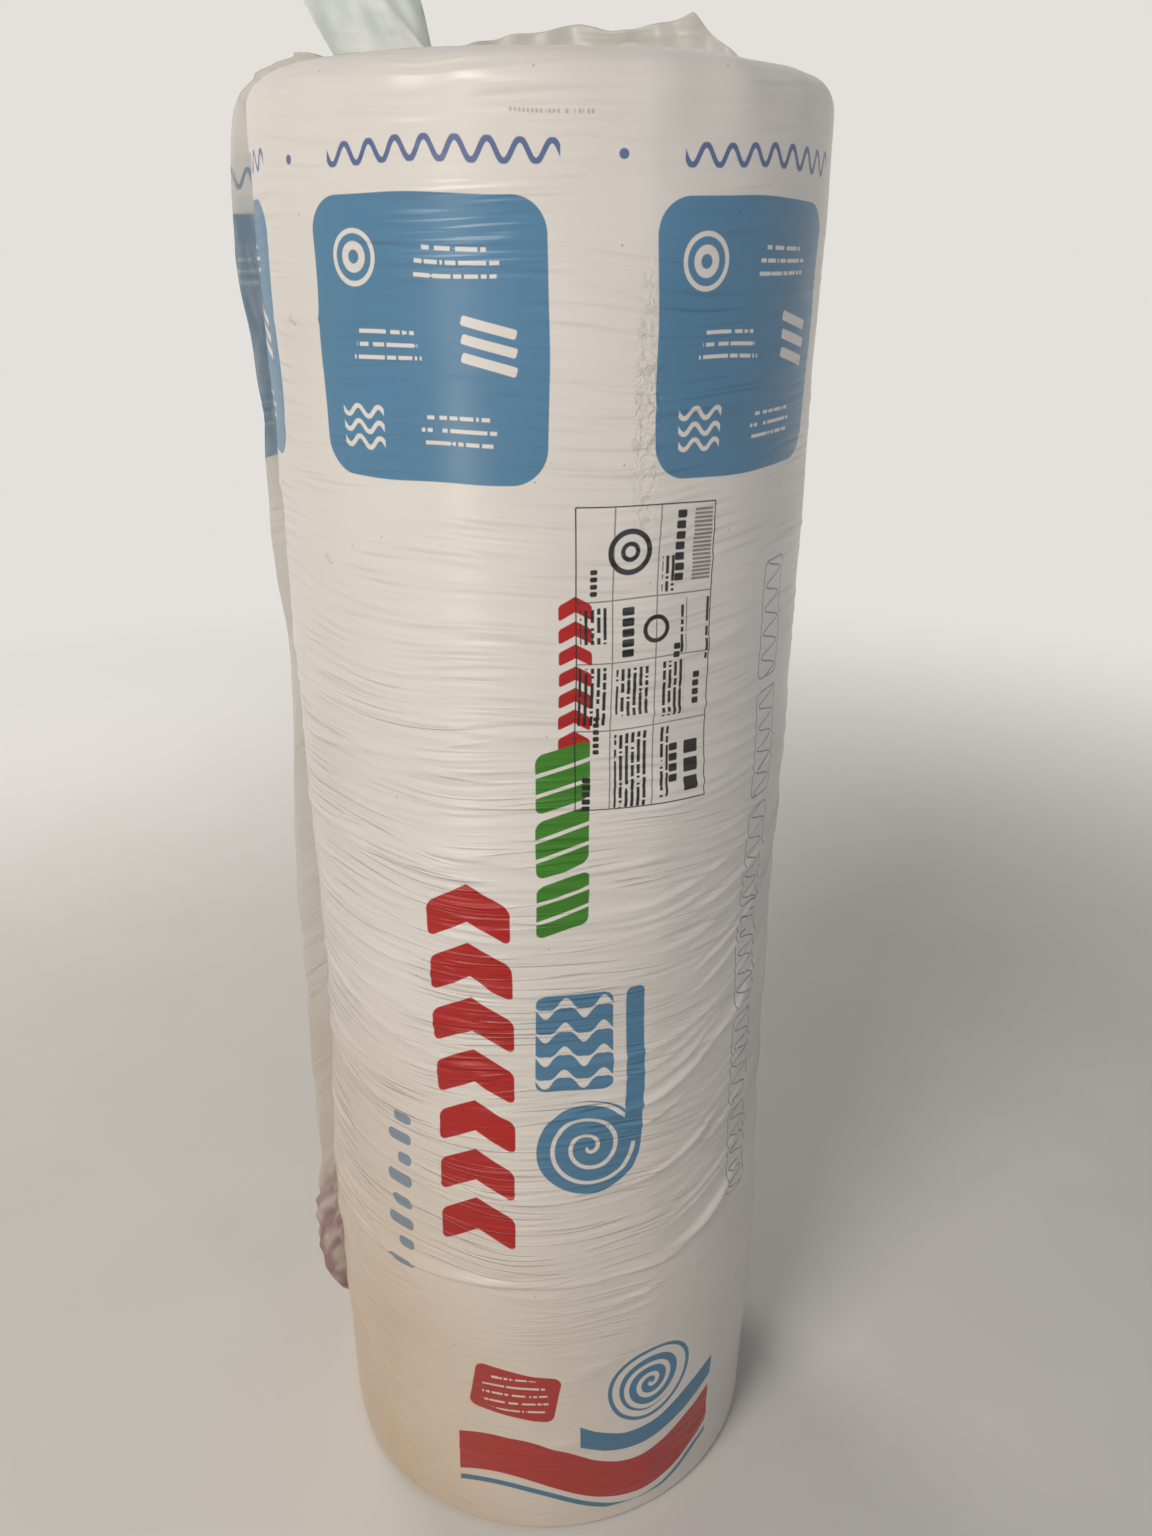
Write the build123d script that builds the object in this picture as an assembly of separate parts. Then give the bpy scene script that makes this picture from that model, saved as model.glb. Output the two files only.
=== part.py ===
"""Roll of mineral wool in a printed film wrapper, standing on its end.

The felt is wound round a thin mandrel, squeezed and slipped into a sleeve of film. The sleeve is
longer than the felt, so both of its ends are pleated and turned in over the roll. Its lengthwise
lap has come loose on the left, and at the top its hem and a torn strip stand up.

Millimetres. The origin is on the roll's axis at floor level, +Z points up along the axis, and
the side with the front of the print faces -Y.
"""

from build123d import *
import math
import os

# Overall shape of the wrapped roll
ROLL_HEIGHT = 1200.0
ROLL_DIAMETER = 400.0
TOP_SHOULDER = 21.0
BASE_BEVEL = 8.0
HIDDEN_BANDS = 3

# Film
FILM = 1.0
HEM_OPENING = 120.0
TENT_RISE = 24.0
PLEATS = 24
PLEAT_LAP = 11.0
PLEAT_START = 6.0
PLEAT_LAYERS = 2

# Wool
WOOL_CLEARANCE = 0.3
BORE = 40.0
TURN_THICKNESS = 32.0
TURN_GROOVE_WIDTH = 3.0
TURN_GROOVE_DEPTH = 6.0

# Loose lap on the left: its plan, in degrees from +X, and its free edge
LAP_ROOT_ANGLE = 138.0
LAP_ROOT_DEPTH = 8.0
LAP_LEAVE_ANGLE = 158.0
LAP_REACH = 40.0
LAP_FORWARD = 14.0
LAP_BOTTOM = 86.0
LAP_TOP_DROP = 8.0
# How far the free edge stands out beyond the sleeve, at even steps from its top to its bottom
LAP_STAND_OUT = [12, 23, 11, 16, 9, 12, 19, 20, 21, 31, 9]

# Hem standing up at the back of the top: plan points as distance in from the tent's foot and angle
HEM_PLAN = [(51, 151), (81, 78), (13, 23)]
# Its rise above the rim at even steps from left to right, the raised corner last but one
HEM_RISE = [26, 31, 36, 41, 47, 43, 47, 57, 22]

# Torn strip standing up at the back left of the top, with its plan points given as the hem's are
STRIP_PLAN = [(-36, 162), (5, 150), (66, 122)]
STRIP_FOOT_IN = 63.0
STRIP_FOOT_ANGLE = 144.0
STRIP_WIDTH = 64.0
STRIP_RISE = 92.0
STRIP_LEAN = 32.0
STRIP_END_ROUND = 9.0

# Standing film starts this far under the rim, inside the sleeve, and is cut off where it enters
TUCK = 12.0

roll_radius = ROLL_DIAMETER / 2
hem_radius = HEM_OPENING / 2
tent_foot = roll_radius - TOP_SHOULDER
pleat_height = PLEAT_LAYERS * FILM
wool_bottom = FILM + pleat_height + WOOL_CLEARANCE
wool_top = ROLL_HEIGHT - FILM - WOOL_CLEARANCE
everything = 4 * ROLL_HEIGHT


def polar(radius, degrees):
    """Point in plan at this radius and angle from +X."""
    return (radius * math.cos(math.radians(degrees)), radius * math.sin(math.radians(degrees)))


def bag(inset, lift=0.0):
    """Solid of revolution that follows the sleeve's outer face, set in by inset all over.

    Base bevel, wall, top shoulder, then the low tent of film over the end. lift raises the tent
    alone, for the pleats that lie on it. A face that is set in is hidden, so its shoulder is a few
    flat bands whose corners lie on the round one.
    """
    radius = roll_radius - inset
    tent_slope = math.atan2(TENT_RISE, tent_foot - hem_radius)
    tent_top = ROLL_HEIGHT + tent_foot * math.tan(tent_slope)
    tent_drop = (inset - lift) / math.cos(tent_slope)
    base = Line((0, inset), (roll_radius - BASE_BEVEL, inset))
    bevel = Line(base @ 1, (radius, BASE_BEVEL))
    wall = Line(bevel @ 1, (radius, ROLL_HEIGHT - TOP_SHOULDER))
    shoulder = RadiusArc(wall @ 1, (tent_foot, ROLL_HEIGHT - inset), -(TOP_SHOULDER - inset))
    if inset:
        shoulder = Polyline(*[shoulder @ (band / HIDDEN_BANDS) for band in range(HIDDEN_BANDS + 1)])
    outline = [base, bevel, wall, shoulder]
    if lift:
        outline.append(Line(shoulder @ 1, (tent_foot, ROLL_HEIGHT + lift)))
    tent = Line(outline[-1] @ 1, (0, tent_top - tent_drop))
    outline += [tent, Line(tent @ 1, base @ 0)]
    return revolve(Plane.XZ * make_face(Curve() + outline), Axis.Z)


def tent_plan(points):
    """Arc in plan through three points, each a distance in from the tent's foot and an angle."""
    return ThreePointArc(*[polar(tent_foot - inward, degrees) for inward, degrees in points])


def seen_along_y(outline):
    """Solid block, endless along Y, of an outline drawn in X and Z."""
    return extrude(Plane.XZ * make_face(Curve() + outline), everything, both=True)


def standing_film(plan, low, high):
    """One thickness of film that stands along a line in plan, from low to high."""
    return Pos(0, 0, low) * extrude(trace(plan, FILM), high - low, dir=(0, 0, 1))


def loose_lap():
    """Free lengthwise edge of the sleeve, standing off the roll on the left."""
    top = ROLL_HEIGHT - LAP_TOP_DROP
    root = polar(roll_radius - LAP_ROOT_DEPTH, LAP_ROOT_ANGLE)
    leave = polar(roll_radius, LAP_LEAVE_ANGLE)
    plan = ThreePointArc(root, leave, (-roll_radius - LAP_REACH, -LAP_FORWARD))
    step = (top - LAP_BOTTOM) / (len(LAP_STAND_OUT) - 1)
    places = [(-roll_radius - out, top - step * i) for i, out in enumerate(LAP_STAND_OUT)]
    edge = Spline(*places)
    inside = Polyline(places[-1], (0, LAP_BOTTOM), (0, top), places[0])
    return standing_film(plan, LAP_BOTTOM, top) & seen_along_y([edge, inside])


def standing_hem():
    """Hem of the sleeve at the back of the top, ending in a raised corner."""
    plan = tent_plan(HEM_PLAN)
    low = ROLL_HEIGHT - TUCK
    left = (plan @ 0).X
    step = ((plan @ 1).X - left) / (len(HEM_RISE) - 1)
    places = [(left + step * i, ROLL_HEIGHT + rise) for i, rise in enumerate(HEM_RISE)]
    humps = Spline(*places[:-1])
    corner = Line(places[-2], places[-1])
    below = Polyline(places[-1], ((plan @ 1).X, low), (left, low), places[0])
    film = standing_film(plan, low, ROLL_HEIGHT + 2 * max(HEM_RISE))
    return film & seen_along_y([humps, corner, below])


def torn_strip():
    """Strip of film that stands up and leans to the left, with a rounded end."""
    low = ROLL_HEIGHT - TUCK
    high = ROLL_HEIGHT + STRIP_RISE
    foot = polar(tent_foot - STRIP_FOOT_IN, STRIP_FOOT_ANGLE)[0]
    head = foot - (high - low) * math.tan(math.radians(STRIP_LEAN))
    half = STRIP_WIDTH / 2
    end = ThreePointArc((head - half, high), (head, high + STRIP_END_ROUND), (head + half, high))
    sides = Polyline((head + half, high), (foot + half, low), (foot - half, low), (head - half, high))
    film = standing_film(tent_plan(STRIP_PLAN), low, high + 2 * STRIP_END_ROUND)
    return film & seen_along_y([end, sides])


def pleat_plans():
    """Plan of every pleat: a wedge that starts near the shoulder and widens to the hem."""
    tip = tent_foot - PLEAT_START
    corners = [(tip, 0), (hem_radius, -PLEAT_LAP / 2), (hem_radius, PLEAT_LAP / 2)]
    return PolarLocations(0, PLEATS) * make_face(Polyline(*corners, close=True))


def film_wrap():
    """The whole wrapper as one sheet: sleeve, turned-in ends, pleats and loose parts."""
    wedges = extrude(Sketch() + pleat_plans(), 2 * ROLL_HEIGHT, both=True)
    top_pleats = (bag(0, pleat_height) - bag(0)) & wedges
    inner = bag(FILM)
    floor_pleats = extrude(Sketch() + pleat_plans(), FILM + pleat_height)
    film = bag(0) + loose_lap() + standing_hem() + torn_strip()
    film = film - inner
    film = film + top_pleats + floor_pleats
    return film - Cylinder(hem_radius, everything)


def turn_grooves():
    """Face of a spiral groove between the turns.

    Half circles round two centres that lie half a turn's thickness apart, so each half is
    larger by that much and meets the next with no corner.
    """
    step = TURN_THICKNESS / 2
    radius = BORE / 2 + TURN_THICKNESS
    arcs = []
    side = 0
    while radius + step < roll_radius - TURN_GROOVE_WIDTH:
        arcs.append(CenterArc((side * step, 0), radius, 180 * side, 180))
        radius += step
        side = 1 - side
    return trace(Curve() + arcs, TURN_GROOVE_WIDTH)


def wool_roll():
    """The wound felt: a turned solid with its bore, and the turns cut into both ends."""
    height = wool_top - wool_bottom
    between_ends = Pos(0, 0, wool_bottom + height / 2) * Cylinder(ROLL_DIAMETER, height)
    roll = bag(FILM + WOOL_CLEARANCE) & between_ends
    groove = extrude(turn_grooves(), TURN_GROOVE_DEPTH)
    roll = roll - Pos(0, 0, wool_bottom) * groove
    roll = roll - Pos(0, 0, wool_top - TURN_GROOVE_DEPTH) * groove
    return roll - Cylinder(BORE / 2, everything)


os.makedirs("parts", exist_ok=True)
export_step(wool_roll(), "parts/wool_roll.step")
export_step(film_wrap(), "parts/film_wrap.step")
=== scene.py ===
# %% [markdown]
# # A roll of mineral wool in a printed film sleeve
#
# The real thing is a tall roll of glass wool felt, wound tight and slipped into a sleeve of white
# polyethylene film. The sleeve is printed in blue, red and green, it is a little longer than the
# felt, and both of its ends are pleated and turned in. This lesson dresses a CAD model of it: the
# CAD solids are loaded as a fixed frame, and every visible surface is then a grid worked out with
# numpy. The first cell loads the frame.

# %% Load the frame
import math

import bpy
import numpy as np
from mathutils import Matrix


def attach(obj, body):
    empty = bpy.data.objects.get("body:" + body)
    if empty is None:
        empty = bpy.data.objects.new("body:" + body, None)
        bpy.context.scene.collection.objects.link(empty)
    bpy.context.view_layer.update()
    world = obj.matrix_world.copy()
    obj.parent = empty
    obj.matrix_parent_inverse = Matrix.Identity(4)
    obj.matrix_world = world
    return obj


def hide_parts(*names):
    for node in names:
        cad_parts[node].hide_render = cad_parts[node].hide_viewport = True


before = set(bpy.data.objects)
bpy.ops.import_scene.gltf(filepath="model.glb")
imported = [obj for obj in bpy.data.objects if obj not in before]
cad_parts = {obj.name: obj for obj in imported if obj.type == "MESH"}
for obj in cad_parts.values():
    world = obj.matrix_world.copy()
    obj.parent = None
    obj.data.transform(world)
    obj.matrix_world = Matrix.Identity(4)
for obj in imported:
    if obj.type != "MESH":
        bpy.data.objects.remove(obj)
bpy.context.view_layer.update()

scene = bpy.context.scene

# %% [markdown]
# ## The camera
#
# A photograph of a cylinder tells where its camera stood: the two side lines, the rim and the base
# ring fix the height, the distance and the tilt. It could be placed by eye, but a fitted camera lets
# every fold and every printed block be put where the photograph has it. The focal length is kept in
# pixels of a 1152 by 1536 picture, and Blender's lens follows from it and the 36 mm sensor.

# %% Place the camera
PICTURE_WIDTH, PICTURE_HEIGHT = 1152, 1536
FOCAL_PIXELS = 1235.0
CAMERA_DISTANCE, CAMERA_HEIGHT = 0.977, 1.097
CAMERA_PITCH, CAMERA_ROLL, CAMERA_YAW = np.radians([22.97, -0.26, 1.55])


def camera_axes(pitch, roll, yaw):
    """Right, down and forward of a camera that looks along +Y, is turned by yaw, tipped down and rolled.

    Forward is the sine and cosine of the yaw times the cosine of the pitch, and down its sine. Down
    is forward crossed with right, and the roll turns right and down about forward.
    """
    level = math.cos(pitch)
    forward = np.array([math.sin(yaw) * level, math.cos(yaw) * level, -math.sin(pitch)])
    right = np.array([math.cos(yaw), -math.sin(yaw), 0.0])
    down = np.cross(forward, right)
    rolled_right = math.cos(roll) * right + math.sin(roll) * down
    rolled_down = math.cos(roll) * down - math.sin(roll) * right
    return rolled_right, rolled_down, forward


right, down, forward = camera_axes(CAMERA_PITCH, CAMERA_ROLL, CAMERA_YAW)
camera_data = bpy.data.cameras.new("photo_camera")
camera_data.sensor_width = 36.0
camera_data.lens = FOCAL_PIXELS / PICTURE_HEIGHT * camera_data.sensor_width
camera = bpy.data.objects.new("photo_camera", camera_data)
camera.matrix_world = Matrix(
    [
        [right[0], -down[0], -forward[0], 0.0],
        [right[1], -down[1], -forward[1], -CAMERA_DISTANCE],
        [right[2], -down[2], -forward[2], CAMERA_HEIGHT],
        [0.0, 0.0, 0.0, 1.0],
    ]
)
scene.collection.objects.link(camera)
scene.camera = camera
print("lens", round(camera_data.lens, 2), "mm")

# %% [markdown]
# ## Two helpers for every piece
#
# A surface here is a grid: rows run along one parameter and columns along the other. One helper
# turns such a grid of points into a mesh, and one adds a shader node. Blender's own primitives
# could be pushed about instead, but a grid keeps a map of the film in its UVs, in metres, and the
# print and the wrinkles both follow that map.

# %% Grid to mesh, and one shader node
FLAT = {"noise_dimensions": "2D"}
SMOOTH = {"interpolation_type": "SMOOTHSTEP"}
COLOURS = {"data_type": "RGBA", "out": 2}


def grid_piece(name, points, film_map, ring=False, tube=False):
    """Object whose quads join each point of a grid to the next point of its row and of the next row.

    points is rows by columns by 3, and film_map is the same by 2, with one more column or row where
    the grid closes on itself. ring closes the columns into a loop, and tube closes the rows.
    """
    rows, columns = points.shape[:2]
    row, column = np.meshgrid(
        np.arange(rows if tube else rows - 1), np.arange(columns if ring else columns - 1), indexing="ij"
    )
    row, column = row.ravel(), column.ravel()
    corners = [(row, column), (row, column + 1), (row + 1, column + 1), (row + 1, column)]
    quads = np.stack([(r % rows) * columns + c % columns for r, c in corners], axis=1)
    mesh = bpy.data.meshes.new(name)
    mesh.from_pydata(points.reshape(-1, 3).tolist(), [], quads.tolist())
    layer = mesh.uv_layers.new(name="film")
    spread = np.stack([film_map[r, c] for r, c in corners], axis=1)
    layer.data.foreach_set("uv", spread.astype(np.float32).ravel())
    mesh.polygons.foreach_set("use_smooth", np.ones(len(mesh.polygons), dtype=bool))
    mesh.update()
    piece = bpy.data.objects.new(name, mesh)
    scene.collection.objects.link(piece)
    box = np.round([points.min((0, 1)), points.max((0, 1))], 4).tolist()
    print(name, "quads", len(mesh.polygons), "box", box)
    return piece


def feed(tree, made, feeds):
    """Feeds a node's inputs, each with a value or with another node's output."""
    for key, value in feeds.items():
        if isinstance(value, bpy.types.NodeSocket):
            tree.links.new(value, made.inputs[key])
        else:
            made.inputs[key].default_value = value


def node(tree, kind, *inputs, out=0, **settings):
    """Adds one shader node, sets it, feeds its inputs, and gives one of its outputs.

    The kind may have an operation after a dot. Inputs come in order, or as a dict by place or name.
    A Map Range's last four inputs are the span that goes in and the span that comes out.
    """
    kind, _, operation = kind.partition(".")
    made = tree.nodes.new("ShaderNode" + kind)
    if operation:
        made.operation = operation
    for name, value in settings.items():
        setattr(made, name, value)
    for place, value in enumerate(inputs):
        feed(tree, made, value if isinstance(value, dict) else {place: value})
    return made.outputs[out]


def linear(hex_colour):
    """Linear RGBA of an sRGB colour written as #rrggbb."""
    srgb = np.array([int(hex_colour[i : i + 2], 16) for i in (1, 3, 5)]) / 255
    low = srgb / 12.92
    high = ((srgb + 0.055) / 1.055) ** 2.4
    return (*np.where(srgb <= 0.04045, low, high).tolist(), 1.0)


def smooth_step(low, high, x):
    """0 below low, 1 above high, and an even S between them."""
    t = np.clip((x - low) / (high - low), 0, 1)
    return t * t * (3 - 2 * t)


# %% [markdown]
# ## Where the film is
#
# Film is measured along itself. On the wall a point of the film has two numbers: the arc from the
# middle of the front, and the height. Over the top shoulder and under the base the second number
# simply goes on along the surface, so the map never stretches. The sizes come from the photograph
# and from the CAD solids: 1.2 m high, 0.4 m across, a shoulder of 21 mm and a small bend at the foot.

# %% Sizes of the roll
ROLL_RADIUS = 0.2
ROLL_HEIGHT = 1.2
SHOULDER = 0.021
BASE_BEND = 0.009
HEM_RADIUS = 0.06
TENT_RISE = 0.024
SEAM_ANGLE = 158.0
WALL_ROWS = 520
# Rings where one sheet laps over the next: the sleeve's edge under the base and the middle of that ring,
# its edge on top, and the outer edge of the pleats at either end
SLEEVE_BASE_EDGE, SLEEVE_BASE_RING = 0.1815, 0.1865
SLEEVE_TOP_EDGE = 0.1765
BASE_PLEATS_EDGE, TOP_PLEATS_EDGE = 0.184, 0.1785
# Length of film at those outer edges, on the sleeve's map
BASE_PLEATS_MAP, TOP_PLEATS_MAP = -0.004, 1.213
wall_top = ROLL_HEIGHT - SHOULDER
tent_foot = ROLL_RADIUS - SHOULDER


def film_arc(degrees):
    """Arc in metres from the front line, which is at 270 degrees from +X."""
    return ROLL_RADIUS * np.radians(degrees - 270.0)


def sleeve_profile(wall_rows):
    """Radius, height, outward normal and film length of the sleeve's outline, from the base to the top.

    A flat ring, a quarter circle, the straight wall, a quarter circle, and a short flat lip. The
    wall's rows lie closest from 0.26 to 0.86 m up, where the wrinkles are sharpest. The length
    counts from the floor, as the height does on the wall.
    """
    foot = np.radians(np.linspace(-90, 0, 7))[1:-1]
    head = np.radians(np.linspace(0, 90, 13))[1:]
    share = np.linspace(0, 1, wall_rows)
    wall = np.interp(share, [0, 0.18, 0.62, 0.82, 1], [BASE_BEND, 0.26, 0.66, 0.86, wall_top])
    foot_radius = ROLL_RADIUS - BASE_BEND
    ring = [SLEEVE_BASE_EDGE, SLEEVE_BASE_RING, foot_radius]
    bends = foot_radius + BASE_BEND * np.cos(foot), tent_foot + SHOULDER * np.cos(head)
    radius = np.concatenate([ring, bends[0], np.full(wall_rows, ROLL_RADIUS), bends[1], [SLEEVE_TOP_EDGE]])
    bends = BASE_BEND + BASE_BEND * np.sin(foot), wall_top + SHOULDER * np.sin(head)
    height = np.concatenate([np.zeros(len(ring)), bends[0], wall, bends[1], [ROLL_HEIGHT]])
    tilt = np.concatenate([np.radians([-90, -90, -90]), foot, np.zeros(wall_rows), head, [np.radians(90)]])
    step = np.hypot(np.diff(radius), np.diff(height))
    length = np.concatenate([[0], np.cumsum(step)])
    length += BASE_BEND - length[len(ring) + len(foot)]
    return radius, height, np.cos(tilt), np.sin(tilt), length


print("profile ends at film length", round(float(sleeve_profile(WALL_ROWS)[4][-1]), 4), "m")

# %% [markdown]
# ## How film wrinkles on a squeezed roll
#
# Squeezed wool pushes the film out everywhere, so the film is tight round the roll, and the slack
# that is left lies in long level wrinkles, sharp on top and tapering at both ends. Low down, where
# the roll stands on its edge, they turn steep. Cloth simulation would have to be very fine to find
# wrinkles of 3 mm on a 1.2 m sleeve, so the relief is drawn instead: broad lumps of the wool, then
# nine hundred seeded creases, and the long ridges that the photograph shows.

# %% Relief of the wool under the film
def soft_noise(arc, height, cell_arc, cell_height, seed, waves=36):
    """Smooth noise of about unit size.

    It is a sum of seeded sine waves whose lengths lie round the two cell sizes. Each goes round the
    roll a whole number of times, so the noise has no seam.
    """
    rng = np.random.default_rng(seed)
    turns = rng.integers(1, max(2, int(2 * math.pi * ROLL_RADIUS / cell_arc)), waves) / ROLL_RADIUS
    turns = turns * rng.choice([-1, 1], waves)
    rise = rng.normal(0, 2 * math.pi / cell_height / 1.6, waves)
    phase = rng.uniform(0, 2 * math.pi, waves)
    total = np.zeros(np.broadcast(arc, height).shape)
    for k in range(waves):
        total = total + np.sin(turns[k] * arc + rise[k] * height + phase[k])
    return total * math.sqrt(2.0 / waves)


BODY_HEIGHTS = [0.0, 0.05, 0.15, 0.25, 0.35, 0.46, 0.6, 0.75, 0.9, 1.05, 1.2]
BODY_SWELL = [0.0, 0.0008, 0.0022, 0.0026, 0.0, -0.0034, -0.0036, -0.0012, 0.0004, 0.0012, 0.0010]


def body_form(arc, height):
    """Slow change of the radius: a waist, a belly low down, lumps of felt, and the felt's outer end.

    The end of the felt is a soft upright corner: the radius falls off on both sides of it as a
    rounded cusp does, by 1 mm for every 30 mm or so. At the top the left shoulder sags by 4 mm.
    """
    swell = np.interp(height, BODY_HEIGHTS, BODY_SWELL)
    swell = swell + 0.0010 * soft_noise(arc, height, 0.30, 0.22, seed=11)
    swell = swell + 0.0004 * soft_noise(arc, height, 0.10, 0.09, seed=12)
    away = arc - np.interp(height, [0.0, 0.5, 0.75, 1.0, 1.2], [0.088, 0.088, 0.086, 0.070, 0.061])
    swell = swell + 0.0019 * np.exp(-np.sqrt(away**2 + 0.004**2) / 0.034)
    left_shoulder = np.exp(-(((arc + 0.20) / 0.085) ** 2)) * smooth_step(1.155, 1.20, height)
    return swell - 0.0040 * left_shoulder


# %% [markdown]
# ### The creases
#
# Each crease is a short curve on the film's map. Its height falls off across it as a narrow bell
# and along it as a long one, so it ends in nothing, as a stretched wrinkle does. The ones that the
# photograph shows clearly have sharper crests, and are listed in millimetres, point by point.

# %% Creases
def crease(arc, height, start, bend, end, rise, width):
    """Ridge along a parabola through three points of the map.

    A point's place along the crease is its place along the chord. Its height is the rise times a
    bell of its distance from the parabola, times a bump that is 1 in the middle and 0 at both ends.
    """
    (a0, h0), (a1, h1), (a2, h2) = start, bend, end
    chord = np.array([a2 - a0, h2 - h0])
    reach = np.hypot(*chord)
    along_unit = chord / reach
    along = ((arc - a0) * along_unit[0] + (height - h0) * along_unit[1]) / reach
    across = (height - h0) * along_unit[0] - (arc - a0) * along_unit[1]
    sag = (h1 - h0) * along_unit[0] - (a1 - a0) * along_unit[1]
    across = across - 4 * sag * along * (1 - along)
    taper = np.clip(4 * along * (1 - along), 0, 1) ** 0.7
    return rise * taper * np.exp(-((across / width) ** 2))


def ridge(arc, height, path, rise, width):
    """Ridge along a smooth line through a path of points, each an arc and a height.

    The line is the height as a polynomial of the arc, of the third degree at most, that fits the
    path best. How far a point lies from it is the difference in height, divided by the square root
    of 1 plus the slope squared. The ridge is the rise times a peaked bell of that distance, with a
    crest 0.6 mm round, and times half a sine wave from one end of the path to the other.
    """
    arcs, heights = np.array(path).T
    line = np.polynomial.Polynomial.fit(arcs, heights, min(3, len(path) - 1))
    across = (height - line(arc)) / np.sqrt(1 + line.deriv()(arc) ** 2)
    away = np.sqrt(across**2 + 0.0006**2) - 0.0006
    along = np.clip((arc - arcs.min()) / np.ptp(arcs), 0, 1)
    return rise * np.sin(math.pi * along) ** 0.7 * np.exp(-((away / width) ** 1.3))


# Rise and half width, then points along the crest as arc and height, all in mm
MARKED_RIDGES = [
    (2.3, 2.8, [(-237, 594), (-188, 597), (-141, 595),
                (-95, 593), (-56, 591), (-29, 582), (6, 580), (70, 586)]),
    (2.3, 2.8, [(-244, 540), (-186, 537), (-137, 524), (-99, 517), (-60, 517)]),
    (1.9, 2.7, [(-110, 509), (-59, 508), (-26, 502), (12, 496)]),
    (2.4, 2.8, [(-30, 524), (41, 520), (66, 517), (88, 521), (117, 529), (140, 535), (178, 549)]),
    (2.6, 3.1, [(10, 471), (67, 469), (84, 473), (107, 480), (126, 490), (150, 506), (180, 515), (228, 535)]),
    (1.4, 2.4, [(72, 493), (103, 500), (125, 502), (154, 510)]),
    (2.4, 3.4, [(170, 512), (215, 548), (262, 610)]),
    (2.5, 3.3, [(60, 306), (101, 311), (140, 317), (160, 325), (177, 344), (192, 358), (226, 376)]),
    (1.7, 2.5, [(-146, 707), (-99, 703), (-66, 696), (-27, 690), (7, 687), (60, 688), (115, 693)]),
    (1.9, 2.6, [(-275, 680), (-212, 688), (-175, 690), (-133, 691), (-92, 693)]),
    (1.4, 2.5, [(-28, 673), (40, 669), (118, 646)]),
    (1.3, 2.4, [(34, 652), (63, 650), (89, 651), (118, 659)]),
    (1.9, 2.7, [(-232, 652), (-171, 651), (-127, 646), (-88, 649)]),
    (1.9, 2.9, [(-242, 453), (-199, 448), (-154, 448), (-104, 445)]),
    (2.4, 5.0, [(-262, 176), (-180, 148), (-95, 112)]),
    (2.0, 4.2, [(-236, 246), (-163, 233), (-100, 205)]),
    (2.0, 4.2, [(-247, 207), (-160, 192), (-94, 141)]),
    (1.8, 3.8, [(-225, 350), (-157, 303), (-105, 265)]),
    (1.5, 2.5, [(-218, 794), (-166, 794), (-113, 797), (-61, 794), (-15, 788), (60, 783)]),
    (1.0, 2.3, [(-239, 820), (-187, 814), (-128, 816), (-82, 813)]),
    (1.3, 2.4, [(-231, 748), (-149, 763), (-86, 768)]),
    (1.4, 3.1, [(-60, 1186), (-20, 1181), (25, 1184)]),
    (1.1, 2.5, [(-190, 870), (-120, 858), (-60, 856)]),
    (1.2, 2.8, [(60, 610), (140, 600), (215, 618)]),
    (1.5, 3.2, [(40, 420), (110, 412), (190, 436)]),
]


# How the seeded creases' rise changes with height: strongest on the belly and the waist
CREASE_HEIGHTS = [0.0, 0.22, 0.3, 0.62, 0.78, 0.95, 1.16]
CREASE_RISE = [0.7, 0.6, 1.35, 1.35, 0.75, 0.6, 0.35]


def climb_to_the_right(arc, level):
    """How far a wrinkle that starts level climbs on the right of the belly: up to 100 mm.

    A smooth step from 50 to 330 mm right of the front line and back by 660 mm, times a window of
    heights: from nothing at 0.12 m to all of it at 0.40 m, and back to nothing from 0.50 to 0.82 m.
    """
    across = smooth_step(0.05, 0.33, arc) * smooth_step(0.66, 0.36, arc)
    return 0.100 * across * smooth_step(0.12, 0.40, level) * smooth_step(0.82, 0.50, level)


def crease_field(arc, height, level):
    """Sum of the seeded creases, which follow the grid's rows, and of the marked ridges, in metres.

    Each crease is worked out only on the rows that it comes near.
    """
    rng = np.random.default_rng(5)
    total = np.zeros(arc.shape)
    count = 900
    middle_arc = rng.uniform(-0.39, 0.86, count)
    middle = 0.02 + 1.15 * rng.beta(1.15, 1.2, count)
    reach = rng.uniform(0.025, 0.07, count) * (1 + 1.6 * rng.random(count) ** 3)
    steep = rng.normal(0, 0.035, count) + np.where(middle < 0.24, rng.normal(0, 0.55, count), 0)
    sag = -rng.gamma(1.6, 0.0016, count)
    rise = np.clip(rng.gamma(1.5, 0.00042, count), 0.0002, 0.0022)
    rise = rise * np.interp(middle, CREASE_HEIGHTS, CREASE_RISE)
    width = rng.uniform(0.0020, 0.0036, count) * np.where(middle < 0.24, 1.8, 1.0)
    climb = steep * reach
    for k in range(count):
        start = (middle_arc[k] - reach[k], middle[k] - climb[k])
        bend = (middle_arc[k], middle[k] + sag[k])
        end = (middle_arc[k] + reach[k], middle[k] + climb[k])
        near = np.abs(level[:, 0] - middle[k]) < 0.03 + abs(climb[k])
        total[near] += crease(arc[near], level[near], start, bend, end, rise[k], width[k])
    for rise_mm, width_mm, path in MARKED_RIDGES:
        total += ridge(arc, height, np.array(path) / 1000, rise_mm / 1000, width_mm / 1000)
    return total


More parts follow.
